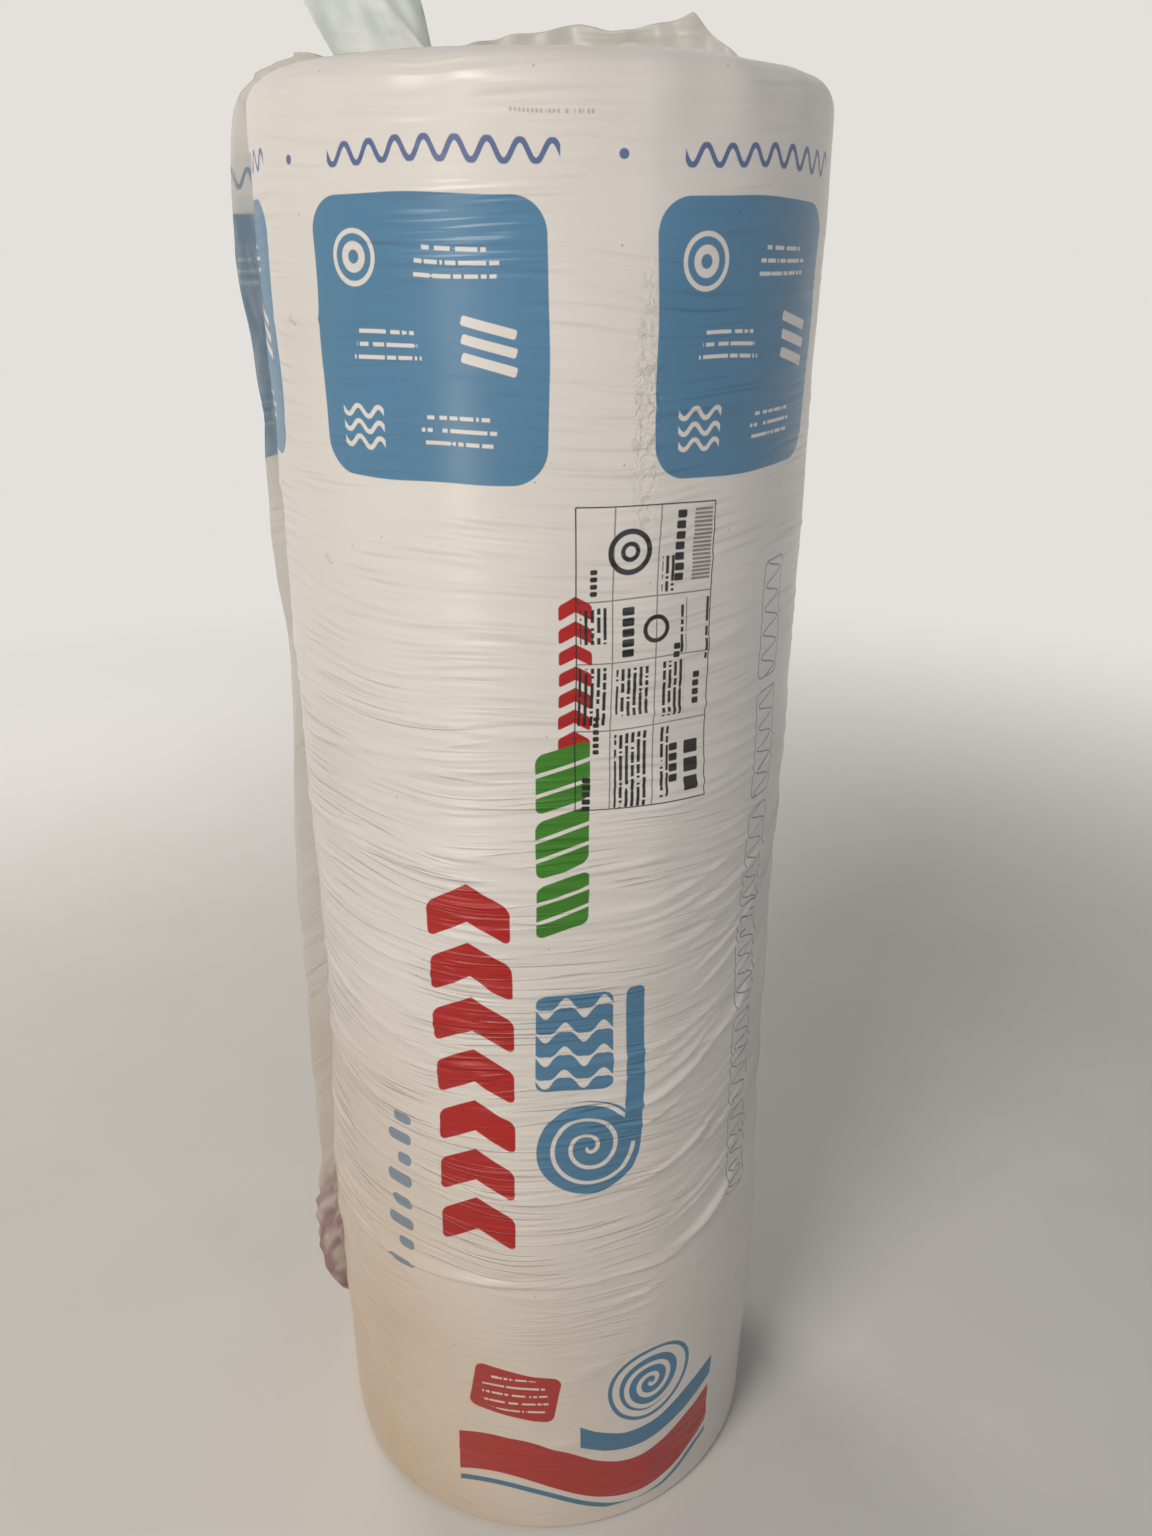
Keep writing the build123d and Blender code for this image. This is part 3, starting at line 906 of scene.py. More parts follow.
def chevron_group():
    """Column of chevrons: blocks at each pitch of the height plus a slope times the size of the arc.

    The shear turns a level block into a chevron with upright sides, so its corners stay round.
    Without Fold the arc keeps its sign, and the blocks only slant.
    """
    numbers = ["Slope", "Fold", "Pitch", "Count", "Corner"]
    tree, given, ink = mark_group("printed_chevrons", numbers, ["Centre", "Half"])
    local = node(tree, "VectorMath.SUBTRACT", given["Point"], given["Centre"])
    arc, height, _ = node(tree, "SeparateXYZ", local).node.outputs
    side = node(tree, "Math.ABSOLUTE", arc)
    side = node(tree, "Mix", {0: given["Fold"], 2: arc, 3: side})
    climb = node(tree, "Math.MULTIPLY_ADD", side, given["Slope"], height)
    half_pitch = node(tree, "Math.MULTIPLY", given["Pitch"], 0.5)
    half_column = node(tree, "Math.MULTIPLY", half_pitch, given["Count"])
    moved = node(tree, "Math.ADD", climb, half_column)
    place = node(tree, "Math.WRAP", moved, given["Pitch"], 0.0)
    place = node(tree, "Math.SUBTRACT", place, half_pitch)
    spot = node(tree, "CombineXYZ", arc, place)
    feeds = {"Point": spot, "Centre": (0.0, 0.0, 0.0), "Half": given["Half"], "Corner": given["Corner"]}
    block = node(tree, "Group", feeds, node_tree=BLOCK)
    size = node(tree, "Math.ABSOLUTE", climb)
    inside = node(tree, "Math.LESS_THAN", size, half_column)
    tree.links.new(node(tree, "Math.MULTIPLY", block, inside), ink)
    return tree


def small_print_group():
    """Greeked lines: rows at each pitch, cut by noise into strokes and gaps like words too small to read."""
    tree, given, ink = mark_group("printed_fine_lines", ["Pitch", "Reach"], ["Centre"])
    local = node(tree, "VectorMath.SUBTRACT", given["Point"], given["Centre"])
    arc, height, _ = node(tree, "SeparateXYZ", local).node.outputs
    line = node(tree, "Math.DIVIDE", height, given["Pitch"])
    number = node(tree, "Math.ROUND", line)
    off = node(tree, "Math.SUBTRACT", line, number)
    off = node(tree, "Math.ABSOLUTE", off)
    off = node(tree, "Math.MULTIPLY_ADD", off, given["Pitch"], -1.15)
    stroke = node(tree, "Math.DIVIDE", arc, 1.7)
    stroke = node(tree, "Math.FLOOR", stroke)
    spot = node(tree, "CombineXYZ", stroke, number)
    spot = node(tree, "VectorMath.ADD", spot, given["Centre"])
    chance = node(tree, "TexWhiteNoise", {"Vector": spot}, **FLAT)
    holes = node(tree, "MapRange", chance, 0.12, 0.20, 2.0, 0.0)
    row = node(tree, "CombineXYZ", {1: number})
    row = node(tree, "VectorMath.ADD", row, given["Centre"])
    length = node(tree, "TexWhiteNoise", {"Vector": row}, **FLAT)
    length = node(tree, "MapRange", length, 0.0, 1.0, 0.62, 1.0)
    length = node(tree, "Math.MULTIPLY", length, given["Reach"])
    beyond = node(tree, "Math.ABSOLUTE", arc)
    beyond = node(tree, "Math.SUBTRACT", beyond, length)
    worst = node(tree, "Math.MAXIMUM", off, beyond)
    worst = node(tree, "Math.ADD", worst, holes)
    tree.links.new(inked(tree, worst), ink)
    return tree


def wound_group():
    """Wound roll: the radius over the pitch less the share of a turn, wrapped, so ink follows a spiral."""
    tree, given, ink = mark_group("printed_wound_roll", ["Radius", "Pitch", "Share"], ["Centre"])
    local = node(tree, "VectorMath.SUBTRACT", given["Point"], given["Centre"])
    arc, height, _ = node(tree, "SeparateXYZ", local).node.outputs
    away = node(tree, "VectorMath.LENGTH", local, out=1)
    angle = node(tree, "Math.ARCTAN2", height, arc)
    angle = node(tree, "Math.DIVIDE", angle, 2 * math.pi)
    turn = node(tree, "Math.DIVIDE", away, given["Pitch"])
    turn = node(tree, "Math.SUBTRACT", turn, angle)
    folded = node(tree, "Math.PINGPONG", turn, 0.5)
    band = node(tree, "Math.MULTIPLY", given["Share"], 0.5)
    distance = node(tree, "Math.SUBTRACT", folded, band)
    distance = node(tree, "Math.MULTIPLY", distance, given["Pitch"])
    outside = node(tree, "Math.SUBTRACT", away, given["Radius"])
    distance = node(tree, "Math.MAXIMUM", distance, outside)
    tree.links.new(inked(tree, distance), ink)
    return tree


BLOCK = block_group()
TURNED_BLOCK = turned_block_group()
RING, WAVES, CHEVRONS = ring_group(), wave_group(), chevron_group()
SMALL_PRINT, WOUND = small_print_group(), wound_group()
print("mark groups:", [group.name for group in bpy.data.node_groups])

# %% [markdown]
# ### Laying the print out
#
# The whole print is one group, so the face of the film, its paler back and the lap all share it. It
# takes a point of the film map and gives the ink's colour and how much of the film it covers. Blue
# panels come round every 225 mm near the top, with a band of waves and dots above them, and the
# tall artwork in red, green and blue comes round twice. Later marks are laid over earlier ones.

# %% The whole print as one group
INK_BLUE = "#4f7fa0"
INK_NAVY = "#38568c"
INK_RED = "#ad0b07"
INK_GREEN = "#357c12"
INK_BLACK = "#161518"
INK_SLATE = "#6c89a6"
FILM_WHITE = "#dfdad4"
PANEL_PITCH = 225.0
ARTWORK_PITCH = 628.3


def wrapped(tree, point, first, pitch):
    """The point with its arc brought into one pitch, so that what is drawn there comes round again."""
    arc, height, _ = node(tree, "SeparateXYZ", point).node.outputs
    within = node(tree, "Math.WRAP", arc, first, first + pitch)
    return node(tree, "CombineXYZ", within, height)


def joined(tree, inks):
    """Ink where any of the marks has ink: the largest of them."""
    largest = inks[0]
    for ink in inks[1:]:
        largest = node(tree, "Math.MAXIMUM", largest, ink)
    return largest


def marks(tree, group, point, *centres, **sizes):
    """Ink of the same mark at one or more centres, with its sizes in mm."""
    inks = []
    for centre in centres:
        feeds = {"Point": point, "Centre": (*centre, 0.0)}
        for name, value in sizes.items():
            feeds[name.capitalize()] = (*value, DEEP) if isinstance(value, tuple) else value
        inks.append(node(tree, "Group", feeds, node_tree=group))
    return joined(tree, inks)


def clipped(tree, ink, point, centre, **sizes):
    """The ink that lies inside a block: one times the other."""
    area = marks(tree, TURNED_BLOCK if "turn" in sizes else BLOCK, point, centre, **sizes)
    return node(tree, "Math.MULTIPLY", ink, area)


def cut_out(tree, ink, hole):
    """The ink with another mark cut out of it: the ink times 1 less the other."""
    rest = node(tree, "Math.SUBTRACT", 1.0, hole)
    return node(tree, "Math.MULTIPLY", ink, rest)


def panel_marks(tree, point):
    """One blue panel, and the white marks in it: rings, slanted layers, waves and small print."""
    panel = marks(tree, BLOCK, point, (-76.0, 1041.5), half=(79.5, 82.5), corner=22.0)
    layers = [(-32, 1029), (-32, 1040), (-32, 1051)]
    white = [
        marks(tree, RING, point, (-122, 1088), radius=15.0, width=3.0),
        marks(tree, RING, point, (-122, 1088), radius=6.5, width=5.0),
        marks(tree, TURNED_BLOCK, point, *layers, half=(17.0, 3.0), corner=1.5, turn=0.28),
    ]
    waves = marks(tree, WAVES, point, (-122, 990), rise=3.0, wavelength=17.0, spacing=4.8, width=3.0)
    white.append(clipped(tree, waves, point, (-122, 990), half=(17.0, 14.4), corner=0.5))
    for middle in ((-52, 1088), (-100, 1040), (-52, 990)):
        lines = marks(tree, SMALL_PRINT, point, middle, pitch=7.4, reach=30.0)
        white.append(clipped(tree, lines, point, middle, half=(34.0, 13.0), corner=1.0))
    return panel, joined(tree, white)


def top_band(tree, point):
    """The band above the panels: a run of looping waves, and a dot between the runs."""
    run = marks(tree, WAVES, point, (-64, 1146.5), rise=5.4, wavelength=18.75, spacing=40.0, width=3.3)
    run = clipped(tree, run, point, (-64, 1146.5), half=(75.0, 9.0), corner=1.0)
    return joined(tree, [run, marks(tree, RING, point, (-176.5, 1146.0), radius=1.4, width=3.0)])


def on_its_side(tree, point):
    """The point with its height as arc and its arc as depth, for rows that run up the roll."""
    arc, height, _ = node(tree, "SeparateXYZ", point).node.outputs
    leftward = node(tree, "Math.MULTIPLY", arc, -1.0)
    return node(tree, "CombineXYZ", height, leftward)


# Small print in the label: middle and half size in mm. Then columns of bold blocks: middle, number of
# blocks, their pitch, and half size
LABEL_SMALL_PRINT = [
    (32, 818, 10, 21), (60, 762, 12, 28), (60, 820, 12, 17), (32, 868, 9, 12), (84, 764, 4, 26),
    (90, 818, 9, 20), (117, 858, 2.5, 22), (84, 898, 5, 12), (97, 862, 2.5, 19),
]
LABEL_BOLD = [
    ((107, 758), 3, 13.4, (6.0, 5.0)), ((92, 762), 4, 7.6, (3.4, 2.8)), ((109, 816), 4, 6.4, (2.8, 2.3)),
    ((56, 862), 5, 7.0, (4.2, 2.7)), ((32, 896), 4, 4.6, (2.4, 1.6)), ((92, 916), 7, 6.9, (3.6, 2.6)),
    ((92, 845), 2, 6.0, (2.6, 2.2)), ((28, 746), 5, 5.6, (3.0, 2.1)), ((35, 790), 6, 4.8, (2.2, 1.7)),
]


def label_table(tree, point):
    """A thin-ruled table, read from its side: small print, bold blocks, rings and a block of stripes."""
    outer = marks(tree, BLOCK, point, (70, 838.5), half=(50.0, 105.5), corner=1.0)
    inner = marks(tree, BLOCK, point, (70, 838.5), half=(49.1, 104.6), corner=0.6)
    inks = [
        cut_out(tree, outer, inner),
        marks(tree, BLOCK, point, (45, 838.5), (76, 838.5), half=(0.4, 105.0), corner=0.1),
        marks(tree, BLOCK, point, (70, 793), (70, 842), (70, 884), half=(49.5, 0.4), corner=0.1),
        marks(tree, CHEVRONS, point, (110, 916), pitch=2.7, count=18.0, half=(7.5, 0.8), corner=0.1),
    ]
    lines = marks(tree, SMALL_PRINT, on_its_side(tree, point), (838.5, -70), pitch=4.3, reach=190.0)
    for x, y, wide, high in LABEL_SMALL_PRINT:
        inks.append(clipped(tree, lines, point, (x, y), half=(float(wide), float(high)), corner=1.0))
    for centre, count, pitch, half in LABEL_BOLD:
        sizes = {"pitch": pitch, "count": float(count), "half": half, "corner": 1.2}
        inks.append(marks(tree, CHEVRONS, point, centre, **sizes))
    for centre, radius, width in (((56, 914), 13.0, 3.6), ((56, 914), 5.0, 3.0), ((76, 862), 8.0, 3.0)):
        inks.append(marks(tree, RING, point, centre, radius=radius, width=width))
    return joined(tree, inks)


def red_marks(tree, point):
    """The column of seven bold chevrons, and the small one beside the label."""
    slant = {"slope": 0.55, "fold": 1.0, "count": 7.0}
    bold = marks(tree, CHEVRONS, point, (-58.5, 514), pitch=48.0, half=(32.5, 15.0), corner=6.0, **slant)
    small = marks(tree, CHEVRONS, point, (20, 836), pitch=15.8, half=(11.0, 5.0), corner=2.0, **slant)
    return joined(tree, [bold, small])


def green_marks(tree, point):
    """Three slanted packs of felt, each of three layers."""
    slant = {"slope": -0.36, "pitch": 50.0, "count": 3.0}
    packs = marks(tree, CHEVRONS, point, (12, 709), half=(19.0, 22.0), corner=6.0, **slant)
    gaps = marks(tree, CHEVRONS, point, (12, 701.4), (12, 716.6), half=(25.0, 1.5), corner=0.5, **slant)
    return cut_out(tree, packs, gaps)


def blue_marks(tree, point):
    """A roll being unwound: a spiral, the strip that leaves it, and three waves of felt beside the strip."""
    coil = marks(tree, WOUND, point, (34, 438), radius=44.0, pitch=15.0, share=0.76)
    leaf = marks(tree, BLOCK, point, (71, 510), half=(7.5, 73.0), corner=5.0)
    waves = marks(tree, WAVES, point, (22, 538), rise=5.0, wavelength=31.0, spacing=11.0, width=13.5)
    return joined(tree, [coil, leaf, clipped(tree, waves, point, (22, 538), half=(31.0, 45.0), corner=9.0)])


def slate_marks(tree, point):
    """Small bars in a column, long and short in turn, that start at the same upright line."""
    bars = [(-133.0, 294.0, 13.0)]
    for k, wide in enumerate((8.0, 13.0, 10.0, 13.0, 7.0, 12.0, 9.0)):
        bars.append((-120.0 - wide, 315.0 + 21.0 * k, wide))
    inks = [marks(tree, BLOCK, point, (x, y), half=(wide, 5.5), corner=4.5) for x, y, wide in bars]
    return joined(tree, inks)


def foot_marks(tree, point):
    """Low down: a broad red band and a narrow blue one that wave together, a red tag, and a badge."""
    wave = {"rise": 20.0, "wavelength": 250.0, "spacing": 400.0}
    area = {"half": (124.0, 104.0), "corner": 20.0}
    tag = marks(tree, TURNED_BLOCK, point, (-30, 176), half=(38.0, 27.0), corner=8.0, turn=0.16)
    lines = marks(tree, SMALL_PRINT, point, (-30, 176), pitch=9.5, reach=30.0)
    lines = clipped(tree, lines, point, (-30, 176), half=(33.0, 21.5), corner=1.0, turn=0.16)
    red = clipped(tree, marks(tree, WAVES, point, (18, 78), width=46.0, **wave), point, (41, 128), **area)
    red = joined(tree, [red, cut_out(tree, tag, lines)])
    blue = marks(tree, WAVES, point, (18, 128), width=22.0, **wave)
    blue = clipped(tree, blue, point, (96, 128), half=(70.0, 90.0), corner=10.0)
    edge = clipped(tree, marks(tree, WAVES, point, (18, 42), width=6.0, **wave), point, (41, 128), **area)
    blank = marks(tree, RING, point, (92, 170), radius=0.0, width=88.0)
    rim = marks(tree, RING, point, (92, 170), radius=39.5, width=4.0)
    heart = marks(tree, WOUND, point, (92, 170), radius=31.0, pitch=12.0, share=0.6)
    blue = cut_out(tree, joined(tree, [blue, edge]), blank)
    return cut_out(tree, red, blank), joined(tree, [blue, rim, heart])


def side_marks(tree, point):
    """A column of six thin frames, each with a wavy line up its middle, as insulation in a wall is drawn."""
    row = {"pitch": 96.0, "count": 6.0}
    frames = marks(tree, CHEVRONS, point, (195, 608), half=(15.5, 44.0), corner=6.0, **row)
    inside = marks(tree, CHEVRONS, point, (195, 608), half=(14.5, 43.0), corner=5.0, **row)
    upward = on_its_side(tree, point)
    line = marks(tree, WAVES, upward, (608, -195), rise=11.0, wavelength=18.0, spacing=80.0, width=1.1)
    line = node(tree, "Math.MULTIPLY", line, inside)
    return joined(tree, [cut_out(tree, frames, inside), line])


def ink_code(tree, point):
    """A row of small grey dots with gaps, as an ink-jet leaves them."""
    upward = on_its_side(tree, point)
    dots = marks(tree, CHEVRONS, upward, (1167, -6), pitch=2.5, count=24.0, half=(1.3, 0.8), corner=0.5)
    gaps = marks(tree, SMALL_PRINT, point, (6, 1167), pitch=6.0, reach=34.0)
    return node(tree, "Math.MULTIPLY", dots, gaps)


def print_group():
    """The whole print: each mark's ink is laid over what is there already, from the panels to the dots.

    Cover is where the film is printed. The panels' white marks have cover too, being ink on ink.
    """
    tree = bpy.data.node_groups.new("sleeve_print", "ShaderNodeTree")
    tree.interface.new_socket("Ink", in_out="OUTPUT", socket_type="NodeSocketColor")
    tree.interface.new_socket("Cover", in_out="OUTPUT", socket_type="NodeSocketFloat")
    tree.interface.new_socket("Point", in_out="INPUT", socket_type="NodeSocketVector")
    point = tree.nodes.new("NodeGroupInput").outputs["Point"]
    sink = tree.nodes.new("NodeGroupOutput")
    panels = wrapped(tree, point, -188.5, PANEL_PITCH)
    artwork = wrapped(tree, point, -250.0, ARTWORK_PITCH)
    panel, white = panel_marks(tree, panels)
    foot_red, foot_blue = foot_marks(tree, artwork)
    layers = [
        (panel, INK_BLUE, 1.0),
        (top_band(tree, panels), INK_NAVY, 0.92),
        (red_marks(tree, artwork), INK_RED, 1.0),
        (green_marks(tree, artwork), INK_GREEN, 1.0),
        (blue_marks(tree, artwork), INK_BLUE, 1.0),
        (slate_marks(tree, artwork), INK_SLATE, 0.85),
        (foot_red, INK_RED, 0.95),
        (foot_blue, INK_BLUE, 1.0),
        (side_marks(tree, artwork), INK_NAVY, 0.8),
        (label_table(tree, artwork), INK_BLACK, 1.0),
        (ink_code(tree, artwork), INK_BLACK, 0.38),
    ]
    colour, cover = linear(FILM_WHITE), 0.0
    for ink, hex_colour, strength in layers:
        amount = node(tree, "Math.MULTIPLY", ink, strength)
        colour = node(tree, "Mix", {0: amount, 6: colour, 7: linear(hex_colour)}, **COLOURS)
        cover = node(tree, "Math.MAXIMUM", cover, amount)
    colour = node(tree, "Mix", {0: white, 6: colour, 7: linear(FILM_WHITE)}, **COLOURS)
    feed(tree, sink, {"Ink": colour, "Cover": cover})
    return tree


PRINT = print_group()
print("print nodes:", len(PRINT.nodes))

# %% [markdown]
# ## Materials
#
# The film is low-density polyethylene, blown, coloured white and printed. To the eye it is a
# satin, slightly waxy white with a broad soft highlight. What makes it film and not paint is its
# relief: level stretch wrinkles a few millimetres apart, sharper on the ridge than in the valley,
# too fine for the mesh. They come as bump from noise that is drawn out 17 times longer along the
# arc than up the wall, and folded at its middle value so that it has crests.

# %% Shared film relief
FILM_IOR = 1.51


def film_bump(tree, point, strength):
    """Bump of stretch wrinkles, ten to twenty times as long as they are high.

    High up they are soft swells 7 mm apart. Lower down, most of all from 0.3 to 0.65 m, sharp
    crests lie on them, from noise folded at its middle value. Both come and go from place to
    place. One upright patch has small dents, pressed in by a clamp, and there are two nicks.
    """
    warp = node(tree, "TexNoise", {"Vector": point, "Scale": 0.007, "Detail": 0.0}, **FLAT)
    shift = node(tree, "MapRange", warp, 0.0, 1.0, -9.0, 9.0)
    moved = node(tree, "VectorMath.ADD", point, node(tree, "CombineXYZ", {1: shift}))
    arc, height, _ = node(tree, "SeparateXYZ", point).node.outputs
    drawn_out = node(tree, "VectorMath.MULTIPLY", moved, (0.06, 1.0, 1.0))
    fold = node(
        tree, "TexNoise", {"Vector": drawn_out, "Scale": 0.095, "Detail": 1.0, "Roughness": 0.45}, **FLAT
    )
    off = node(tree, "Math.SUBTRACT", fold, 0.5)
    off = node(tree, "Math.ABSOLUTE", off)
    crest = node(tree, "MapRange", off, 0.0, 0.085, 0.46, -0.05, interpolation_type="SMOOTHERSTEP")
    high = node(tree, "MapRange", height, 640.0, 900.0, 1.2, 0.1, **SMOOTH)
    right = node(tree, "MapRange", arc, 50.0, 130.0, 1.0, 0.45, **SMOOTH)
    high = node(tree, "Math.MULTIPLY", high, right)
    crest = node(tree, "Math.MULTIPLY", crest, high)
    swell = node(
        tree, "TexNoise", {"Vector": drawn_out, "Scale": 0.14, "Detail": 1.3, "Roughness": 0.5}, **FLAT
    )
    swell = node(tree, "Math.SUBTRACT", swell, 0.5)
    relief = node(tree, "Math.MULTIPLY_ADD", swell, 2.0, crest)
    patch = node(tree, "VectorMath.MULTIPLY", point, (0.4, 1.0, 1.0))
    patch = node(tree, "TexNoise", {"Vector": patch, "Scale": 0.026, "Detail": 1.5}, **FLAT)
    patch = node(tree, "MapRange", patch, 0.32, 0.64, 0.15, 1.1, **SMOOTH)
    low = node(tree, "MapRange", height, 190.0, 360.0, 0.22, 1.0, **SMOOTH)
    head = node(tree, "MapRange", height, 1100.0, 1190.0, 1.2, 0.6, **SMOOTH)
    for factor in (patch, low, head):
        relief = node(tree, "Math.MULTIPLY", relief, factor)
    dents = node(tree, "TexNoise", {"Vector": point, "Scale": 0.2, "Detail": 2.0, "Distortion": 0.6}, **FLAT)
    dents = node(tree, "Math.SUBTRACT", dents, 0.5)
    dents = node(tree, "Math.MULTIPLY", dents, clamp_mark(tree, point))
    relief = node(tree, "Math.MULTIPLY_ADD", dents, 1.3, relief)
    nicks = marks(tree, TURNED_BLOCK, point, (-187, 1051), (-165, 898), half=(4.0, 1.5), corner=1.4, turn=0.5)
    relief = node(tree, "Math.MULTIPLY_ADD", nicks, 0.7, relief)
    return node(tree, "Bump", {"Height": relief, "Strength": strength, "Distance": 0.0011})


def clamp_mark(tree, point):
    """1 in an upright patch 18 mm wide and 190 mm high, right of the first panel, and 0 outside it.

    The distance from its centre, shrunk to suit its width and height, is turned over from 1 to 0.
    """
    local = node(tree, "VectorMath.SUBTRACT", point, (64.0, 1000.0, 0.0))
    local = node(tree, "VectorMath.MULTIPLY", local, (0.09, 0.0095, 0.0))
    away = node(tree, "VectorMath.LENGTH", local, out=1)
    return node(tree, "MapRange", away, 0.45, 1.1, 1.0, 0.0, **SMOOTH)


def film_point(tree):
    """The film's own map in millimetres."""
    spot = node(tree, "UVMap", uv_map="film")
    return node(tree, "VectorMath.MULTIPLY", spot, (1000.0, 1000.0, 0.0))


def new_material(name):
    """Empty node material: its tree and its Principled shader."""
    material = bpy.data.materials.new(name)
    material.use_nodes = True
    tree = material.node_tree
    return material, tree, tree.nodes["Principled BSDF"]


# %% Printed polyethylene, face and back
def let_light_through(tree, shader, colour, normal, share):
    """Mixes a Translucent shader into thin loose film, so that light from behind shows in it."""
    through = node(tree, "BsdfTranslucent", {"Color": colour, "Normal": normal})
    mixed = node(tree, "MixShader", share, shader.outputs[0], through)
    feed(tree, tree.nodes["Material Output"], {"Surface": mixed})


def printed_polyethylene(name, loose=0.0):
    """Face of the film: the print over a white that varies slightly, as blown film's thickness does.

    loose is the share of light that goes through film that stands free. The lap lets little
    through where it still lies on the wall, at its first 70 mm.
    """
    material, tree, shader = new_material(name)
    point = film_point(tree)
    waver = node(tree, "TexNoise", {"Vector": point, "Scale": 0.013, "Detail": 0.0}, out=1, **FLAT)
    waver = node(tree, "VectorMath.SUBTRACT", waver, (0.5, 0.5, 0.5))
    moved = node(tree, "VectorMath.MULTIPLY_ADD", waver, (3.0, 5.0, 0.0), point)
    ink = node(tree, "Group", {"Point": moved}, out="Ink", node_tree=PRINT)
    cloud = node(tree, "TexNoise", {"Vector": point, "Scale": 0.006, "Detail": 3.0}, **FLAT)
    tone = node(tree, "MapRange", cloud, 0.1, 0.9, 0.93, 1.04)
    specks = node(tree, "TexVoronoi", {"Vector": point, "Scale": 0.0085}, voronoi_dimensions="2D")
    speck = node(tree, "MapRange", specks, 0.003, 0.008, 0.55, 1.0)
    tone = node(tree, "Math.MULTIPLY", tone, speck)
    # Painted shade: darker mottles in the clamp patch, for the shade of its small crinkles.
    crinkle_shade = node(tree, "TexNoise", {"Vector": point, "Scale": 0.09, "Detail": 4.0, "Roughness": 0.7}, **FLAT)
    crinkle_shade = node(tree, "MapRange", crinkle_shade, 0.50, 0.68, 0.0, -0.22)
    crinkle_shade = node(tree, "Math.MULTIPLY", crinkle_shade, clamp_mark(tree, point))
    tone = node(tree, "Math.ADD", tone, crinkle_shade)
    colour = node(tree, "VectorMath.SCALE", {0: ink, "Scale": tone})
    arc, height, _ = node(tree, "SeparateXYZ", point).node.outputs
    # Painted warm shade, with some dust: the film is tinted warmer and darker towards the foot, most on the
    # left, in patches.
    low = node(tree, "MapRange", height, 0.0, 700.0, 1.0, 0.0, **SMOOTH)
    left = node(tree, "MapRange", arc, -160.0, 110.0, 1.0, 0.12)
    dust_and_shade = node(tree, "Math.MULTIPLY", low, left)
    patchy = node(tree, "MapRange", cloud, 0.1, 0.9, 1.0, 0.65)
    dust_and_shade = node(tree, "Math.MULTIPLY", dust_and_shade, patchy)
    dusted_and_shaded = node(tree, "VectorMath.MULTIPLY", colour, linear("#e8cfae")[:3])
    colour = node(tree, "Mix", {0: dust_and_shade, 6: colour, 7: dusted_and_shaded}, **COLOURS)
    rough = node(tree, "MapRange", cloud, 0.1, 0.9, 0.285, 0.37)
    normal = film_bump(tree, point, 1.0)
    feed(tree, shader, {"Base Color": colour, "Roughness": rough, "Normal": normal, "IOR": FILM_IOR})
    if loose:
        thin = node(tree, "Mix", {0: 0.6, 6: colour, 7: linear("#f6f4f0")}, **COLOURS)
        off_wall = node(tree, "MapRange", arc, -385.0, -340.0, 0.06, loose, **SMOOTH)
        let_light_through(tree, shader, thin, normal, off_wall)
    return material


def film_back(name, share, relief, white, show_through):
    """Back of the film: white, with the face's ink showing through in clouds whose whitish gaps are partly
    painted highlights, and a painted pinkish tint low down for warm light that comes through it.
    """
    material, tree, shader = new_material(name)
    point = film_point(tree)
    cover = node(tree, "Group", {"Point": point}, out="Cover", node_tree=PRINT)
    # Uneven show-through and painted highlight: whitish streaks where less of the ink shows.
    show_through_and_sheen = node(tree, "VectorMath.MULTIPLY", point, (1.0, 0.35, 1.0))
    show_through_and_sheen = node(tree, "TexNoise", {"Vector": show_through_and_sheen, "Scale": 0.06, "Detail": 2.0}, **FLAT)
    show_through_and_sheen = node(tree, "MapRange", show_through_and_sheen, 0.35, 0.7, 0.9, 0.25, **SMOOTH)
    through = node(tree, "Math.MULTIPLY", cover, show_through_and_sheen)
    colour = node(tree, "Mix", {0: through, 6: linear(white), 7: linear(show_through)}, **COLOURS)
    _, height, _ = node(tree, "SeparateXYZ", point).node.outputs
    # Painted warm light: a pinkish tint in patches low down, for warm light that comes through the film.
    low = node(tree, "MapRange", height, 270.0, 215.0, 0.0, 1.0)
    warm_light_patches = node(tree, "TexNoise", {"Vector": point, "Scale": 0.045, "Detail": 2.0}, **FLAT)
    warm_light_patches = node(tree, "MapRange", warm_light_patches, 0.36, 0.60, 0.15, 0.85)
    low = node(tree, "Math.MULTIPLY", low, warm_light_patches)
    colour = node(tree, "Mix", {0: low, 6: colour, 7: linear("#c4a5b2")}, **COLOURS)
    normal = film_bump(tree, point, relief)
    feed(tree, shader, {"Base Color": colour, "Roughness": 0.36, "Normal": normal, "IOR": FILM_IOR})
    let_light_through(tree, shader, colour, normal, share)
    return material


def clear_film():
    """Unprinted torn film: thinner and greyer, faintly green, with a sharper shine and fine crumples."""
    material, tree, shader = new_material("clear polyethylene film")
    point = film_point(tree)
    cloud = node(tree, "TexNoise", {"Vector": point, "Scale": 0.035, "Detail": 3.0}, **FLAT)
    tone = node(tree, "MapRange", cloud, 0.3, 0.7, 0.0, 1.0)
    colour = node(tree, "Mix", {0: tone, 6: linear("#e6ebe8"), 7: linear("#f4f6f4")}, **COLOURS)
    normal = film_bump(tree, point, 0.8)
    feed(tree, shader, {"Base Color": colour, "Roughness": 0.3, "Normal": normal, "IOR": FILM_IOR})
    let_light_through(tree, shader, colour, normal, 0.4)
    return material


# %% [markdown]
# Glass wool is spun glass fibre, bound with resin that turns it yellow. The fibres lie in the plane
# of the felt, so on a cut end they show as fine lines that run round the roll, between the turns.

